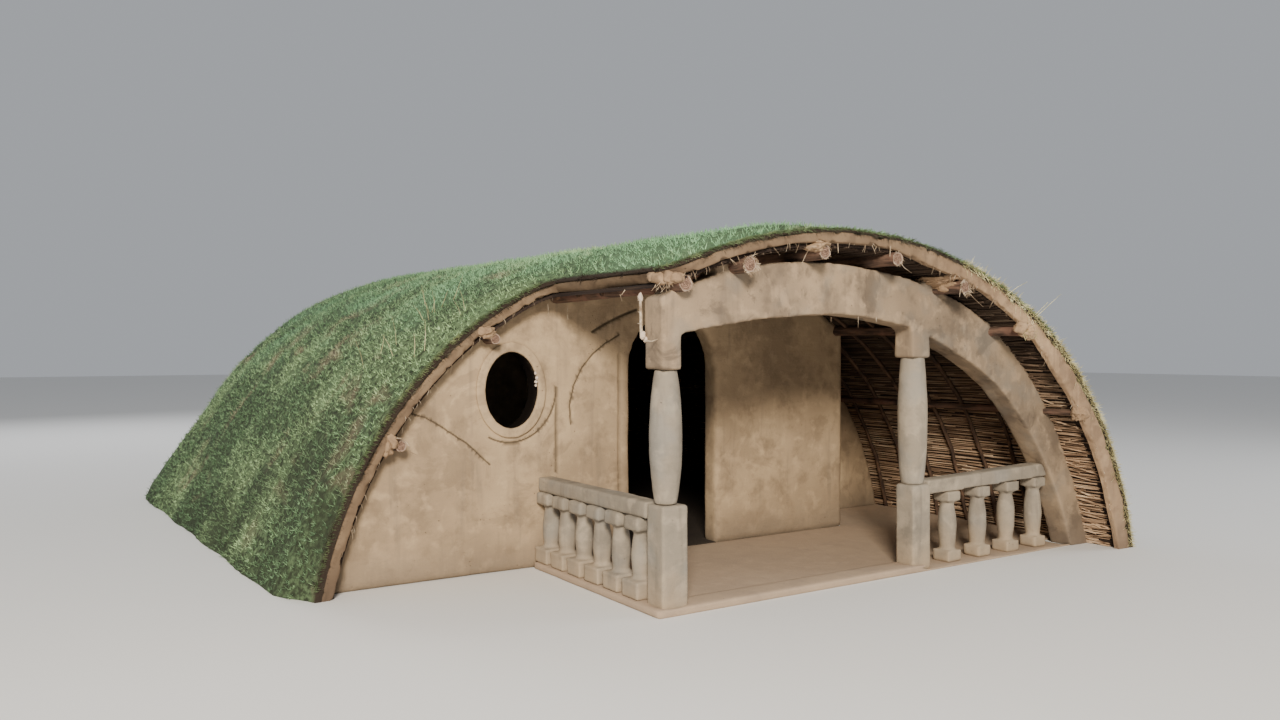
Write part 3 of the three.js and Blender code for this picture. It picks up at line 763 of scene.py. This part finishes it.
# The high colour is painted light on the upper slopes.
soil_paint = turf_paint("turf_soil", dark=(0.036, 0.044, 0.027), middle=(0.075, 0.112, 0.058),
                        light=(0.14, 0.205, 0.10), dry=(0.15, 0.12, 0.08), high=(0.115, 0.205, 0.11))
turf_look = {"spacing": 0.06, "row_step": 0.096, "rough": 0.008, "roll_size": 0.02,
             "edge_rows": [0.0, 0.02, 0.06, 0.13, 0.22, 0.34]}
turf_meshes = {}
for stretch in stretches:
    turf_mesh = roof_mesh(stretch, turf_faces, turf_look)
    turf_meshes[stretch] = turf_mesh
    mark_vertices(turf_mesh, "bare", bare_soil)
    show(f"sod_{stretch}", turf_mesh, soil_paint, "turf", f"turf_{stretch}")

# Short grass covers the turf in small tufts of broad blades, which grow upwards
# on the slopes.
# The high colour is painted light on the upper slopes.
blade_paint = turf_paint("turf_blades", dark=(0.085, 0.14, 0.078), middle=(0.205, 0.345, 0.18),
                         light=(0.42, 0.60, 0.30), dry=(0.42, 0.37, 0.24), high=(0.265, 0.52, 0.285))
blades_in_tuft = 3
tuft_radius = 0.004
blade_half_width = 0.0034
blade_thickness = 0.0045
blade_shape = bmesh.new()
for number in range(blades_in_tuft):
    turn = 2 * math.pi * number / blades_in_tuft + 0.5 * math.sin(number * 2.3)
    lean = 0.014 + 0.010 * math.sin(number * 1.7)
    tall = 0.029 + 0.010 * math.cos(number * 2.1)
    out = Vector((math.cos(turn), math.sin(turn), 0))
    across = Vector((-out.y, out.x, 0)) * blade_half_width
    base = out * tuft_radius
    tip = base + out * lean + Vector((0, 0, tall))
    corners = [base + across, base - across, base + out * blade_thickness, tip]
    corners = [blade_shape.verts.new(corner) for corner in corners]
    for trio in ((0, 1, 3), (1, 2, 3), (2, 0, 3), (0, 2, 1)):
        blade_shape.faces.new([corners[k] for k in trio])
bmesh.ops.recalc_face_normals(blade_shape, faces=blade_shape.faces)
tuft_object = bpy.data.objects.new("tuft", mesh_of(blade_shape, "tuft"))


def new_tree(name, **sockets):
    tree = bpy.data.node_groups.new(name, "GeometryNodeTree")
    for socket_name, kind in sockets.items():
        tree.interface.new_socket(socket_name, in_out="INPUT", socket_type="NodeSocket" + kind)
    tree.interface.new_socket("Geometry", in_out="OUTPUT", socket_type="NodeSocketGeometry")
    return tree, tree.nodes.new("NodeGroupInput").outputs


def end_tree(tree, geometry, paint):
    made_real = add(tree, "GeometryNodeRealizeInstances", {"Geometry": geometry})
    painted = add(tree, "GeometryNodeSetMaterial", {"Geometry": made_real.outputs[0], "Material": paint})
    tree.links.new(painted.outputs[0], tree.nodes.new("NodeGroupOutput").inputs["Geometry"])


grass_tree, given = new_tree("grass", Geometry="Geometry", Density="Float", Seed="Int", Tuft="Object",
                             Paint="Material")
grassy = add(grass_tree, "GeometryNodeInputNamedAttribute", {"Name": "grassy"}, data_type="FLOAT")
density = add(grass_tree, "ShaderNodeMath", {0: given["Density"], 1: grassy.outputs["Attribute"]},
              operation="MULTIPLY")
points = add(grass_tree, "GeometryNodeDistributePointsOnFaces",
             {"Mesh": given["Geometry"], "Density": density.outputs[0], "Seed": given["Seed"]})
upward = add(grass_tree, "ShaderNodeVectorMath", {0: points.outputs["Normal"], 1: (0.0, 0.0, 0.55)},
             operation="ADD")
standing = add(grass_tree, "FunctionNodeAlignRotationToVector", {"Vector": upward.outputs[0]}, axis="Z")
swing = add(grass_tree, "FunctionNodeRandomValue",
            {0: (-0.6, -0.6, 0.0), 1: (0.6, 0.6, 6.283), "Seed": given["Seed"]}, data_type="FLOAT_VECTOR")
swing_turn = add(grass_tree, "FunctionNodeEulerToRotation", {0: swing.outputs[0]})
turned = add(grass_tree, "FunctionNodeRotateRotation",
             {0: standing.outputs[0], 1: swing_turn.outputs[0]}, rotation_space="LOCAL")
size = add(grass_tree, "FunctionNodeRandomValue", {2: 0.6, 3: 1.3, "Seed": given["Seed"]},
           data_type="FLOAT")
tuft_source = add(grass_tree, "GeometryNodeObjectInfo", {"Object": given["Tuft"], "As Instance": True})
planted = add(grass_tree, "GeometryNodeInstanceOnPoints",
              {"Points": points.outputs["Points"], "Instance": tuft_source.outputs["Geometry"],
               "Rotation": turned.outputs[0], "Scale": size.outputs[1]})
end_tree(grass_tree, planted.outputs[0], given["Paint"])


def set_inputs(modifier, values):
    for item in modifier.node_group.interface.items_tree:
        if item.in_out == "INPUT" and item.name in values:
            modifier[item.identifier] = values[item.name]


def grown(draft, tree, values):
    growth = draft.modifiers.new(tree.name, "NODES")
    growth.node_group = tree
    set_inputs(growth, values)
    return plain_mesh(draft, draft.name)


lowest_grass = 0.05
least_upright = 0.25
dry_edge_x = 0.9
dry_edge_width = 0.2
dry_edge_loss = 0.8


def grass_share(face):
    """How densely grass grows on a face: not underneath, and thinly at the dry right edge."""
    side = 1 if face.center.x > 0 else -1
    upright = face.normal.z + 0.9 * side * face.normal.x
    if upright <= least_upright or face.center.z <= lowest_grass:
        return 0.0
    inward = ease((face.center.y - porch_front_at(face.center.x)) / dry_edge_width)
    return 1 - ease((face.center.x - dry_edge_x) / 0.6) * (1 - inward) * dry_edge_loss


tufts_per_square_metre = 398.0
first_grass_seed = 11
for number, stretch in enumerate(stretches):
    bed_mesh = turf_meshes[stretch].copy()
    grassy = bed_mesh.attributes.new("grassy", "FLOAT", "FACE")
    for face, value in zip(bed_mesh.polygons, grassy.data):
        value.value = grass_share(face)
    bed = new_object(f"grass_{stretch}", bed_mesh)
    grass_mesh = grown(bed, grass_tree, {"Density": tufts_per_square_metre, "Seed": first_grass_seed + number,
                                         "Tuft": tuft_object, "Paint": blade_paint})
    for vertex in grass_mesh.vertices:
        vertex.co.z = max(vertex.co.z, 0.0)
    grass = new_object(f"grass_{stretch}", grass_mesh)
    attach(grass, "root")

# Under the mud lie mats of thin sticks, tied across bent ribs. They show from
# below, and their ragged ends at the porch's right side.
strand_tree, given = new_tree("strands", Geometry="Geometry", Sides="Int", Paint="Material")
course = add(strand_tree, "GeometryNodeMeshToCurve", {"Mesh": given["Geometry"]})
round_section = add(strand_tree, "GeometryNodeCurvePrimitiveCircle",
                    {"Resolution": given["Sides"], "Radius": 1.0})
thickness = add(strand_tree, "GeometryNodeInputNamedAttribute", {"Name": "thickness"}, data_type="FLOAT")
drawn = add(strand_tree, "GeometryNodeCurveToMesh",
            {"Curve": course.outputs[0], "Profile Curve": round_section.outputs["Curve"],
             "Scale": thickness.outputs["Attribute"], "Fill Caps": True})
end_tree(strand_tree, drawn.outputs[0], given["Paint"])


def strands(piece, lines, sides, paint, slot_name):
    """Thin closed rods along lines of (place, radius)."""
    places, edges, radii = [], [], []
    for line in lines:
        first = len(places)
        places += [place for place, radius in line]
        radii += [radius for place, radius in line]
        edges += [(first + k, first + k + 1) for k in range(len(line) - 1)]
    mesh = bpy.data.meshes.new(piece)
    mesh.from_pydata(places, edges, [])
    mesh.attributes.new("thickness", "FLOAT", "POINT").data.foreach_set("value", radii)
    drawn_mesh = grown(new_object(piece, mesh), strand_tree, {"Sides": sides, "Paint": paint})
    show(piece, drawn_mesh, paint, slot_name)


def wood_paint(name, dark, middle, light, along, painted_shade_above=None):
    """Dry wood or grass, its tones drawn out along it, and painted black above a height as painted shade."""
    paint, tree, shader = new_paint(name, 0.9)
    place = add(tree, "ShaderNodeTexCoord", {}).outputs["Object"]
    drawn_out = add(tree, "ShaderNodeMapping", {"Vector": place, "Scale": along})
    each = grain(tree, drawn_out.outputs["Vector"], 1.0, 3)
    broad = grain(tree, place, 2.2, 3)
    fine = grain(tree, place, 90, 3)
    colour = blend_colours(tree, fade(tree, each, 0.36, 0.62), dark, middle)
    light_share = sum_of(tree, (each, 0.5), (broad, 0.5))
    colour = wash(tree, colour, light, light_share, 0.5, 0.68)
    colour = wash(tree, colour, dark, fine, 0.55, 0.75, 0.4)
    if painted_shade_above:
        height = add(tree, "ShaderNodeSeparateXYZ", {"Vector": place}).outputs["Z"]
        colour = wash(tree, colour, (0.014, 0.009, 0.008), height, *painted_shade_above, 0.88)
    tree.links.new(colour, shader.inputs["Base Color"])
    raise_surface(tree, shader, sum_of(tree, (each, 0.6), (fine, 0.4)), 0.006, 0.9)
    return paint


# Above a height the sticks are painted black, as painted shade under the roof.
stick_paint = wood_paint("mat_sticks", dark=(0.15, 0.09, 0.054), middle=(0.50, 0.34, 0.215),
                         light=(0.86, 0.67, 0.46), along=(70.0, 1.6, 70.0), painted_shade_above=(0.7, 1.75))
# The wattle behind the sticks is painted near black, as painted shade in the gaps between sticks.
painted_shade_backing = wood_paint("mat_backing", dark=(0.015, 0.009, 0.007), middle=(0.032, 0.02, 0.014),
                           light=(0.055, 0.034, 0.023), along=(60.0, 2.0, 60.0))
for stretch in stretches:
    cover(f"wattle_{stretch}", painted_shade_backing)

mat_inner = mud_half + 0.018
stick_spacing = 0.0205
flank_set_back = 0.11
porch_set_back = 0.045
foot_set_back = 0.05
mat_back = roof_back - 0.06
shortest_stick = 0.09
loose_sticks = 170
dice = random.Random(4)


def front_at(s):
    x = arch_place(s, 0)[0]
    return side_front_at(x) if s < edge_s else porch_front_at(x)


def arch_marks(spacing):
    marks, s = [], -0.999
    while s < 0.999:
        marks.append(s)
        x0, z0 = arch_place(s, 0)
        x1, z1 = arch_place(s + 0.001, 0)
        s += 0.001 * spacing / math.hypot(x1 - x0, z1 - z0)
    return marks


def stick(s, y, far, deep, radius, slant):
    line = []
    for k in range(3):
        at, height = arch_place(s + slant * (k / 2 - 0.5) + dice.uniform(-0.0009, 0.0009), -deep)
        line.append(((at, y + (far - y) * k / 2, max(height, radius)), radius * (1 - 0.18 * k)))
    return line


stick_lines = []
for s in arch_marks(stick_spacing):
    set_back = flank_set_back if s < edge_s else porch_set_back + foot_set_back * ease((s - 0.45) / 0.2)
    y = front_at(s) + set_back + dice.uniform(-0.015, 0.04)
    while y < mat_back - shortest_stick:
        length = dice.uniform(0.4, 1.1) if y < wall_face else dice.uniform(0.8, 1.9)
        far = min(y + length, mat_back)
        radius = dice.uniform(0.004, 0.0078)
        deep = mat_inner + radius * 0.6 + dice.uniform(0.0, 0.006)
        beside = s + dice.uniform(-0.0016, 0.0016)
        stick_lines.append(stick(beside, y, far, deep, radius, slant=dice.uniform(-0.004, 0.004)))
        y = far - dice.uniform(0.0, 0.12)
for k in range(loose_sticks):
    s = 1 - 0.62 * dice.random() ** 1.5
    y = front_at(s) + dice.uniform(0.05, 0.45)
    radius = dice.uniform(0.005, 0.0085)
    far = y + dice.uniform(0.15, 0.5)
    deep = mat_inner + 0.014 + radius
    stick_lines.append(stick(min(s, 0.992), y, far, deep, radius, slant=dice.uniform(-0.02, 0.012)))
strands("mat_sticks", stick_lines, 5, stick_paint, "wattle")

rib_count = 19
rib_spacing = 0.33
first_rib_y = -2.98
rib_end = 0.995
rib_paint = wood_paint("mat_ribs", dark=(0.045, 0.028, 0.02), middle=(0.10, 0.058, 0.036),
                       light=(0.17, 0.10, 0.06), along=(9.0, 40.0, 9.0))
rib_lines = []
for number in range(rib_count):
    y = first_rib_y + rib_spacing * number
    starts = edge_s + 0.01 if y < wall_face + 0.2 else -rib_end
    count = round((rib_end - starts) * 26)
    line = []
    for k in range(count + 1):
        s = starts + (rib_end - starts) * k / count
        at, height = arch_place(s, -(mat_inner + 0.026) + dice.uniform(-0.003, 0.003))
        line.append(((at, y + dice.uniform(-0.014, 0.014), max(height, 0.02)), dice.uniform(0.015, 0.02)))
    rib_lines.append(line)
strands("mat_ribs", rib_lines, 8, rib_paint, "wattle")

# Nine crooked logs carry the roof from front to back, still in their bark. Their
# torn ends show just under the roof's edge.
bark_paint, tree, shader = new_paint("bark", 0.92)
place = add(tree, "ShaderNodeTexCoord", {}).outputs["Object"]
drawn_out = add(tree, "ShaderNodeMapping", {"Vector": place, "Scale": (38.0, 4.0, 38.0)})
ridges = grain(tree, drawn_out.outputs["Vector"], 1.0, 4, 0.3)
broad = grain(tree, place, 3.0, 3)
colour = blend_colours(tree, fade(tree, ridges, 0.35, 0.65), (0.05, 0.032, 0.024), (0.15, 0.09, 0.062))
colour = wash(tree, colour, (0.22, 0.115, 0.08), broad, 0.5, 0.66, 0.7)
heart = add(tree, "ShaderNodeAttribute", {}, attribute_name="heart").outputs["Fac"]
sawn = add(tree, "ShaderNodeAttribute", {}, attribute_name="sawn").outputs["Fac"]
wander = sum_of(tree, (heart, 30.0), (grain(tree, place, 30, 3), 9.0))
rings = add(tree, "ShaderNodeMath", {0: wander}, operation="SINE").outputs[0]
wood = blend_colours(tree, fade(tree, rings, -1.0, 1.0), (0.115, 0.066, 0.048), (0.28, 0.185, 0.13))
blotch = grain(tree, place, 55, 3)
wood = wash(tree, wood, (0.09, 0.052, 0.04), blotch, 0.5, 0.66, 0.8)
wood = wash(tree, wood, (0.42, 0.33, 0.25), heart, 0.78, 0.92, 0.8)
colour = wash(tree, colour, wood, sawn, 0.3, 0.7)
tree.links.new(colour, shader.inputs["Base Color"])
raise_surface(tree, shader, sum_of(tree, (ridges, 0.7), (grain(tree, place, 80, 3), 0.3)), 0.012, 0.9)

log_sides = 18
log_stations = 48
front_end_rings = (0.06, 0.25, 0.45, 0.62, 0.78, 0.92)
back_end_rings = (0.86, 0.5, 0.06)
log_depth = mat_inner + 0.0486
# place along the arch; of the front end: shift, lift, length and radius; back radius
log_marks = (
    (-25 / 32, 0.019, 0.0, 0.05, 0.040, 0.046), (-16 / 32, -0.0112, 0.0, 0.05, 0.041, 0.046),
    (-11 / 32, -0.0075, 0.024, 0.3, 0.053, 0.046), (-8 / 32, 0.0209, 0.0, 0.3, 0.053, 0.046),
    (-3 / 32, 0.0304, 0.008, 0.3, 0.052, 0.046), (3 / 32, 0.0223, 0.012, 0.3, 0.050, 0.046),
    (9 / 32, 0.0172, 0.0, 0.3, 0.050, 0.046), (15 / 32, 0.0151, 0.0, 0.3, 0.038, 0.044),
    (24 / 32, -0.0311, 0.0, 2.6, 0.028, 0.044),
)


def log_centre(number, y):
    s, shift, lift, hold, radius, back_radius = log_marks[number - 1]
    ahead = y - front_at(s + shift) - hold
    share = 1 - ease(ahead / 1.2)
    at, height = arch_place(s + shift * share, lift * share - log_depth)
    return Vector((at, y, height)), back_radius + (radius - back_radius) * share


def log_mesh(number, front, back):
    shape = bmesh.new()
    heart = shape.verts.layers.float.new("heart")
    sawn = shape.verts.layers.float.new("sawn")
    length = back - front
    stations = [0.0, 0.012, 0.03, 0.06, 0.11]
    stations += [0.11 + (length - 0.22) * k / log_stations for k in range(1, log_stations + 1)]
    stations += [length - 0.06, length - 0.012, length]

    def ring(ahead, share, on_end):
        centre, radius = log_centre(number, front + ahead)
        loop = []
        for k in range(log_sides):
            turn = 2 * math.pi * k / log_sides
            out = Vector((math.cos(turn), 0, math.sin(turn)))
            rough = uneven(number * 3 + out.x, ahead * 2.2, out.z, 0.9, number) * 0.007
            torn = 0.0
            if share < 1 or ahead < 0.005:
                torn = uneven(number + out.x * share, 0.0, out.z * share, 0.3, 2.0) * 0.012
            spot = centre + out * ((radius - 0.003 + rough) * share)
            vertex = shape.verts.new((spot.x, spot.y + torn, spot.z))
            vertex[heart] = share
            vertex[sawn] = 1.0 if on_end else 0.0
            loop.append(vertex)
        return loop

    loops = [ring(0.002, share, True) for share in front_end_rings]
    loops += [ring(ahead, 1.0, False) for ahead in stations]
    loops += [ring(length, share, True) for share in back_end_rings]
    for first, second in zip(loops, loops[1:]):
        for k in range(log_sides):
            after = (k + 1) % log_sides
            shape.faces.new((first[k], first[after], second[after], second[k]))
    shape.faces.new(loops[0][::-1])
    shape.faces.new(loops[-1])
    bmesh.ops.recalc_face_normals(shape, faces=shape.faces)
    return mesh_of(shape, "log")


log_fronts = {}
for number in range(1, log_count + 1):
    log_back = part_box(f"purlin_{number}")[1].y
    log_fronts[number] = front_at(log_marks[number - 1][0] + log_marks[number - 1][1]) - 0.004
    made = log_mesh(number, log_fronts[number], log_back)
    show(f"log_{number}", made, bark_paint, "bark", f"purlin_{number}")

# Lumps of clay are pressed by hand round the log ends, on the roof's front corner
# and against the arch. Pale crumbs of it stick to the stake and the window ring.
large_lump = 0.048
at_left_logs = (
    ((-2.515, -1.985, 0.998), (0.042, 0.05, 0.05)), ((-2.545, -1.985, 0.945), (0.035, 0.04, 0.05)),
    ((-1.835, -1.985, 1.722), (0.058, 0.05, 0.04)), ((-1.875, -1.975, 1.728), (0.045, 0.05, 0.035)),
)
at_roof_corner = (
    ((-1.368, -3.38, 2.04), (0.03, 0.06, 0.035)), ((-1.36, -3.44, 2.032), (0.034, 0.055, 0.04)),
    ((-1.335, -3.50, 2.025), (0.04, 0.05, 0.042)), ((-1.30, -3.545, 2.03), (0.045, 0.04, 0.036)),
)
over_the_beam = (
    ((-0.275, -3.62, 2.262), (0.05, 0.07, 0.032)), ((-0.235, -3.61, 2.288), (0.06, 0.07, 0.022)),
    ((0.985, -3.50, 2.105), (0.058, 0.17, 0.035)), ((1.05, -3.55, 2.065), (0.05, 0.13, 0.04)),
)
at_right_logs = (
    ((1.62, -3.78, 1.757), (0.045, 0.05, 0.04)), ((1.675, -3.79, 1.745), (0.05, 0.05, 0.05)),
    ((1.72, -3.79, 1.72), (0.045, 0.045, 0.045)),
    ((2.345, -3.775, 1.112), (0.052, 0.06, 0.062)), ((2.395, -3.78, 1.10), (0.045, 0.05, 0.06)),
)
crumbs_on_stake = (
    ((-1.377, -3.25, 1.925), (0.016, 0.016, 0.026)), ((-1.39, -3.30, 1.69), (0.02, 0.02, 0.026)),
    ((-1.372, -3.30, 1.668), (0.014, 0.016, 0.018)),
)
crumbs_on_ring = (
    ((-1.392, -1.885, 1.395), (0.010, 0.012, 0.012)), ((-1.396, -1.885, 1.366), (0.012, 0.012, 0.010)),
    ((-1.40, -1.885, 1.34), (0.008, 0.010, 0.010)), ((-1.402, -1.885, 1.43), (0.008, 0.010, 0.012)),
)


def clay_lumps(name, lumps, first_seed):
    shape = bmesh.new()
    for seed, (place, size) in enumerate(lumps, first_seed):
        fine = 4 if size[0] >= large_lump else 3
        for vertex in bmesh.ops.create_icosphere(shape, subdivisions=fine, radius=1.0)["verts"]:
            out = vertex.co.copy()
            swell = 1 + 0.45 * uneven(*out, 1.1, seed) + 0.2 * uneven(*out, 0.28, seed)
            vertex.co = Vector(place) + out * Vector(size) * swell
            vertex.co.z = max(vertex.co.z, 0.001)
    return mesh_of(shape, name)


lump_mesh = clay_lumps("pressed_lumps", at_left_logs + at_roof_corner + over_the_beam + at_right_logs, 0)
show("pressed_lumps", lump_mesh, mud_paint, "edge_mud")
crumb_paint = clay_paint("pale_crumbs", pale=(0.66, 0.55, 0.45), middle=(0.56, 0.45, 0.35),
                         dark=(0.42, 0.32, 0.24), damp=(0.4, 0.3, 0.22))
crumb_mesh = clay_lumps("pale_crumbs", crumbs_on_stake + crumbs_on_ring, 30)
show("pale_crumbs", crumb_mesh, crumb_paint, "clay_wall")

# Roots and twigs hang out of the mud along its lower edge, and the log ends are
# frayed into fibres.
root_paint = wood_paint("roots", dark=(0.20, 0.14, 0.09), middle=(0.42, 0.33, 0.23),
                        light=(0.66, 0.57, 0.44), along=(20.0, 20.0, 20.0))


def hanging(place, length, radius, lean):
    line = []
    x, y, z = place
    for k in range(6):
        share = k / 5
        swing = 0.12 * length * math.sin(3.1 * share + 9 * length)
        spot = (x + lean[0] * share * length + swing, y + lean[1] * share * length + swing * 0.6,
                z - length * share)
        line.append((spot, radius * (1 - 0.7 * share)))
    return line


def twig(y, radius, *places):
    """A twig in a plane that faces the front, through (x, height) places."""
    last = len(places) - 1
    return [((x, y, z), radius * (1 - 0.6 * k / last)) for k, (x, z) in enumerate(places)]


small_roots = 170
corner_roots = 26
root_lines = []
for k in range(small_roots):
    s = dice.uniform(-0.95, 0.97)
    x = arch_place(s, 0)[0]
    at, height = arch_place(s, mud_faces(x, 0, 0, 0)[0] + dice.uniform(0.0, 0.02))
    length = min(dice.uniform(0.012, 0.07), height)
    start = (at, front_at(s) + dice.uniform(-0.006, 0.03), height)
    radius = dice.uniform(0.0012, 0.0024)
    lean = (dice.uniform(-0.9, 0.9), dice.uniform(-0.9, 0.2))
    root_lines.append(hanging(start, length, radius, lean))
root_lines += [
    twig(-2.04, 0.0035, (-2.499, 1.022), (-2.471, 1.017), (-2.444, 1.006), (-2.41, 0.958), (-2.408, 0.925),
         (-2.362, 0.902)),
    twig(-2.0, 0.0016, (-1.359, 1.935), (-1.356, 1.87), (-1.361, 1.80)),
    twig(-2.0, 0.0018, (-1.194, 1.93), (-1.20, 1.87), (-1.194, 1.82)),
    twig(-2.0, 0.003, (-1.383, 2.0), (-1.37, 1.965)), twig(-2.0, 0.003, (-1.318, 1.985), (-1.325, 1.95)),
    twig(-3.3, 0.003, (-1.52, 1.962), (-1.545, 1.93)), twig(-3.3, 0.002, (-1.555, 1.935), (-1.541, 1.895)),
    twig(-3.69, 0.0028, (-0.30, 2.25), (-0.371, 2.254), (-0.40, 2.225), (-0.422, 2.194), (-0.448, 2.148)),
    twig(-3.69, 0.004, (-0.141, 2.29), (-0.136, 2.228)),
    twig(-3.71, 0.004, (0.324, 2.298), (0.319, 2.224)),
    twig(-3.72, 0.0022, (0.39, 2.207), (0.419, 2.181), (0.45, 2.155), (0.52, 2.125)),
    twig(-3.74, 0.0024, (1.075, 2.02), (1.151, 1.965), (1.25, 1.91)),
    twig(-3.74, 0.003, (1.14, 2.075), (1.146, 2.0)), twig(-3.74, 0.003, (1.0, 2.032), (0.989, 1.975)),
    twig(-3.48, 0.0016, (0.259, 1.83), (0.259, 1.751)), twig(-3.48, 0.0022, (0.005, 1.82), (0.005, 1.785)),
    twig(-3.48, 0.002, (0.434, 1.83), (0.434, 1.795)),
    twig(-3.43, 0.005, (-1.455, 1.655), (-1.411, 1.652), (-1.361, 1.668)),
]
for k in range(corner_roots):
    start = (dice.uniform(-1.39, -1.32), dice.uniform(-3.52, -3.4), dice.uniform(1.99, 2.02))
    length = dice.uniform(0.02, 0.055)
    radius = dice.uniform(0.002, 0.0042)
    lean = (dice.uniform(-1.0, 1.0), dice.uniform(-0.5, 0.5))
    root_lines.append(hanging(start, length, radius, lean))
# log, number of fibres at its end, and how far they reach
for number, count, reach in ((3, 16, 0.016), (4, 90, 0.036), (5, 20, 0.02), (6, 34, 0.018), (7, 80, 0.04)):
    centre, radius = log_centre(number, log_fronts[number])
    for k in range(count):
        turn = dice.uniform(0, 2 * math.pi)
        out = Vector((math.cos(turn), 0, math.sin(turn)))
        sweep = Vector((dice.uniform(-0.5, 0.9), dice.uniform(-0.9, -0.1), dice.uniform(-1.1, 0.3)))
        start = centre + out * (radius - 0.004)
        length = reach * dice.uniform(0.35, 1.0)
        middle = start + (out * 0.7 + sweep * 0.4) * length * 0.5
        thick = dice.uniform(0.0013, 0.0026)
        root_lines.append([(tuple(start), thick), (tuple(middle), thick),
                           (tuple(middle + sweep * length * 0.6), thick * 0.4)])
strands("roots", root_lines, 5, root_paint, "edge_mud")

# A thin peeled stake stands upright against the arch's left end, and is tied to
# it with three turns of fibre.
stake = [((-1.378, -3.25, 1.94), 0.010), ((-1.373, -3.25, 1.834), 0.011), ((-1.369, -3.25, 1.69), 0.010)]
tie_heights = (1.90, 1.832, 1.76)
stake_lines = [stake]
for z in tie_heights:
    stake_lines.append([((-1.392, -3.262, z), 0.003), ((-1.388, -3.24, z + 0.004), 0.003),
                        ((-1.366, -3.236, z + 0.003), 0.003), ((-1.358, -3.25, z), 0.003)])
strands("tied_stake", stake_lines, 7, root_paint, "clay_wall")

# Grass hangs over the turf's front edges, with a dark mat of roots behind it. Dry
# straw sticks out along the edge that runs down at the right, and a few tall
# stems stand on the left slope.
fringe_paint = wood_paint("fringe", dark=(0.085, 0.12, 0.055), middle=(0.19, 0.26, 0.12),
                          light=(0.38, 0.43, 0.20), along=(9.0, 9.0, 9.0))
sod_root_paint = wood_paint("sod_roots", dark=(0.035, 0.028, 0.02), middle=(0.10, 0.08, 0.055),
                            light=(0.19, 0.16, 0.11), along=(14.0, 14.0, 14.0))
straw_paint = wood_paint("straw", dark=(0.38, 0.34, 0.16), middle=(0.66, 0.60, 0.32),
                         light=(0.86, 0.82, 0.55), along=(12.0, 12.0, 12.0))
blade_droop = 0.35
blade_root_depth = 0.012
fringe_count = 3400
sod_root_count = 3300
straw_count = 4000


def edge_blade(s, depth, lift, forward, length, radius):
    """A blade out of the turf's front edge, at a depth from 0 under the turf to 1 at its top."""
    x, z = arch_place(s, 0)
    front = front_at(s)
    root = mud_half + (turf_faces(x, front + 0.03, z, 0)[1] - mud_half) * depth
    line = []
    for share in (0.0, 0.5, 1.0):
        rise = length * (lift * share - blade_droop * share * share)
        at, height = arch_place(s + 0.002 * share * forward / 0.05, root + rise)
        y = front + blade_root_depth - forward * share
        line.append(((at, y, max(height, radius)), radius * (1 - 0.8 * share)))
    return line


def edge_blades(count, *spreads):
    """Blades with s, depth, lift, forward, length and radius each drawn from its spread."""
    return [edge_blade(*(dice.uniform(low, high) for low, high in spreads)) for _ in range(count)]


fringe_lines = edge_blades(fringe_count, (-0.99, 0.56), (0.7, 1.0), (-0.3, 0.9), (0.01, 0.05),
                           (0.018, 0.042), (0.0016, 0.0027))
strands("turf_fringe", fringe_lines, 3, fringe_paint, "turf")
sod_root_lines = edge_blades(sod_root_count, (-0.99, 0.6), (0.0, 0.6), (-1.0, 0.1), (0.012, 0.026),
                             (0.012, 0.034), (0.0014, 0.0028))
strands("sod_roots", sod_root_lines, 3, sod_root_paint, "turf")
straw_lines = []
for k in range(straw_count):
    s = 1 - 0.72 * dice.random() ** 1.1
    length = dice.uniform(0.02, 0.05) if dice.random() < 0.93 else dice.uniform(0.07, 0.12)
    straw_lines.append(edge_blade(s, dice.uniform(0.1, 1.1), dice.uniform(-0.7, 1.3),
                                  dice.uniform(0.008, 0.04), length, dice.uniform(0.0017, 0.0032)))
straw_lines += [
    twig(-3.79, 0.003, (1.45, 2.0), (1.57, 2.06), (1.687, 2.104)),
    twig(-3.79, 0.003, (1.78, 1.86), (1.86, 1.91), (1.94, 1.962)),
    twig(-3.79, 0.003, (1.80, 1.85), (1.95, 1.94), (2.104, 2.028)),
]
straws_in_right_lump = 60
tall_stems = 16
for k in range(straws_in_right_lump):
    turn = dice.uniform(0, 2 * math.pi)
    start = Vector((dice.uniform(1.61, 1.74), -3.80, dice.uniform(1.71, 1.78)))
    end = start + Vector((math.cos(turn), -0.5, math.sin(turn))) * dice.uniform(0.02, 0.06)
    straw_lines.append([(tuple(start), 0.0024), (tuple(end), 0.001)])
for k in range(tall_stems):
    x = dice.uniform(-2.35, -1.6)
    y = dice.uniform(-1.75, -0.6)
    s = s_at(x)
    z = arch_place(s, 0)[1]
    at, height = arch_place(s, turf_faces(x, y, z, 0)[1] - 0.01)
    lean = Vector((dice.uniform(-0.6, 0.35), dice.uniform(-0.7, 0.1), 1.0)).normalized()
    length = dice.uniform(0.14, 0.28)
    root = Vector((at, y, height))
    tip = root + lean * length + Vector((-0.02, -0.02, -0.02))
    halfway = root + lean * length * 0.5
    straw_lines.append([(tuple(root), 0.0022), (tuple(halfway), 0.0018), (tuple(tip), 0.0007)])
strands("edge_straw", straw_lines, 3, straw_paint, "turf")
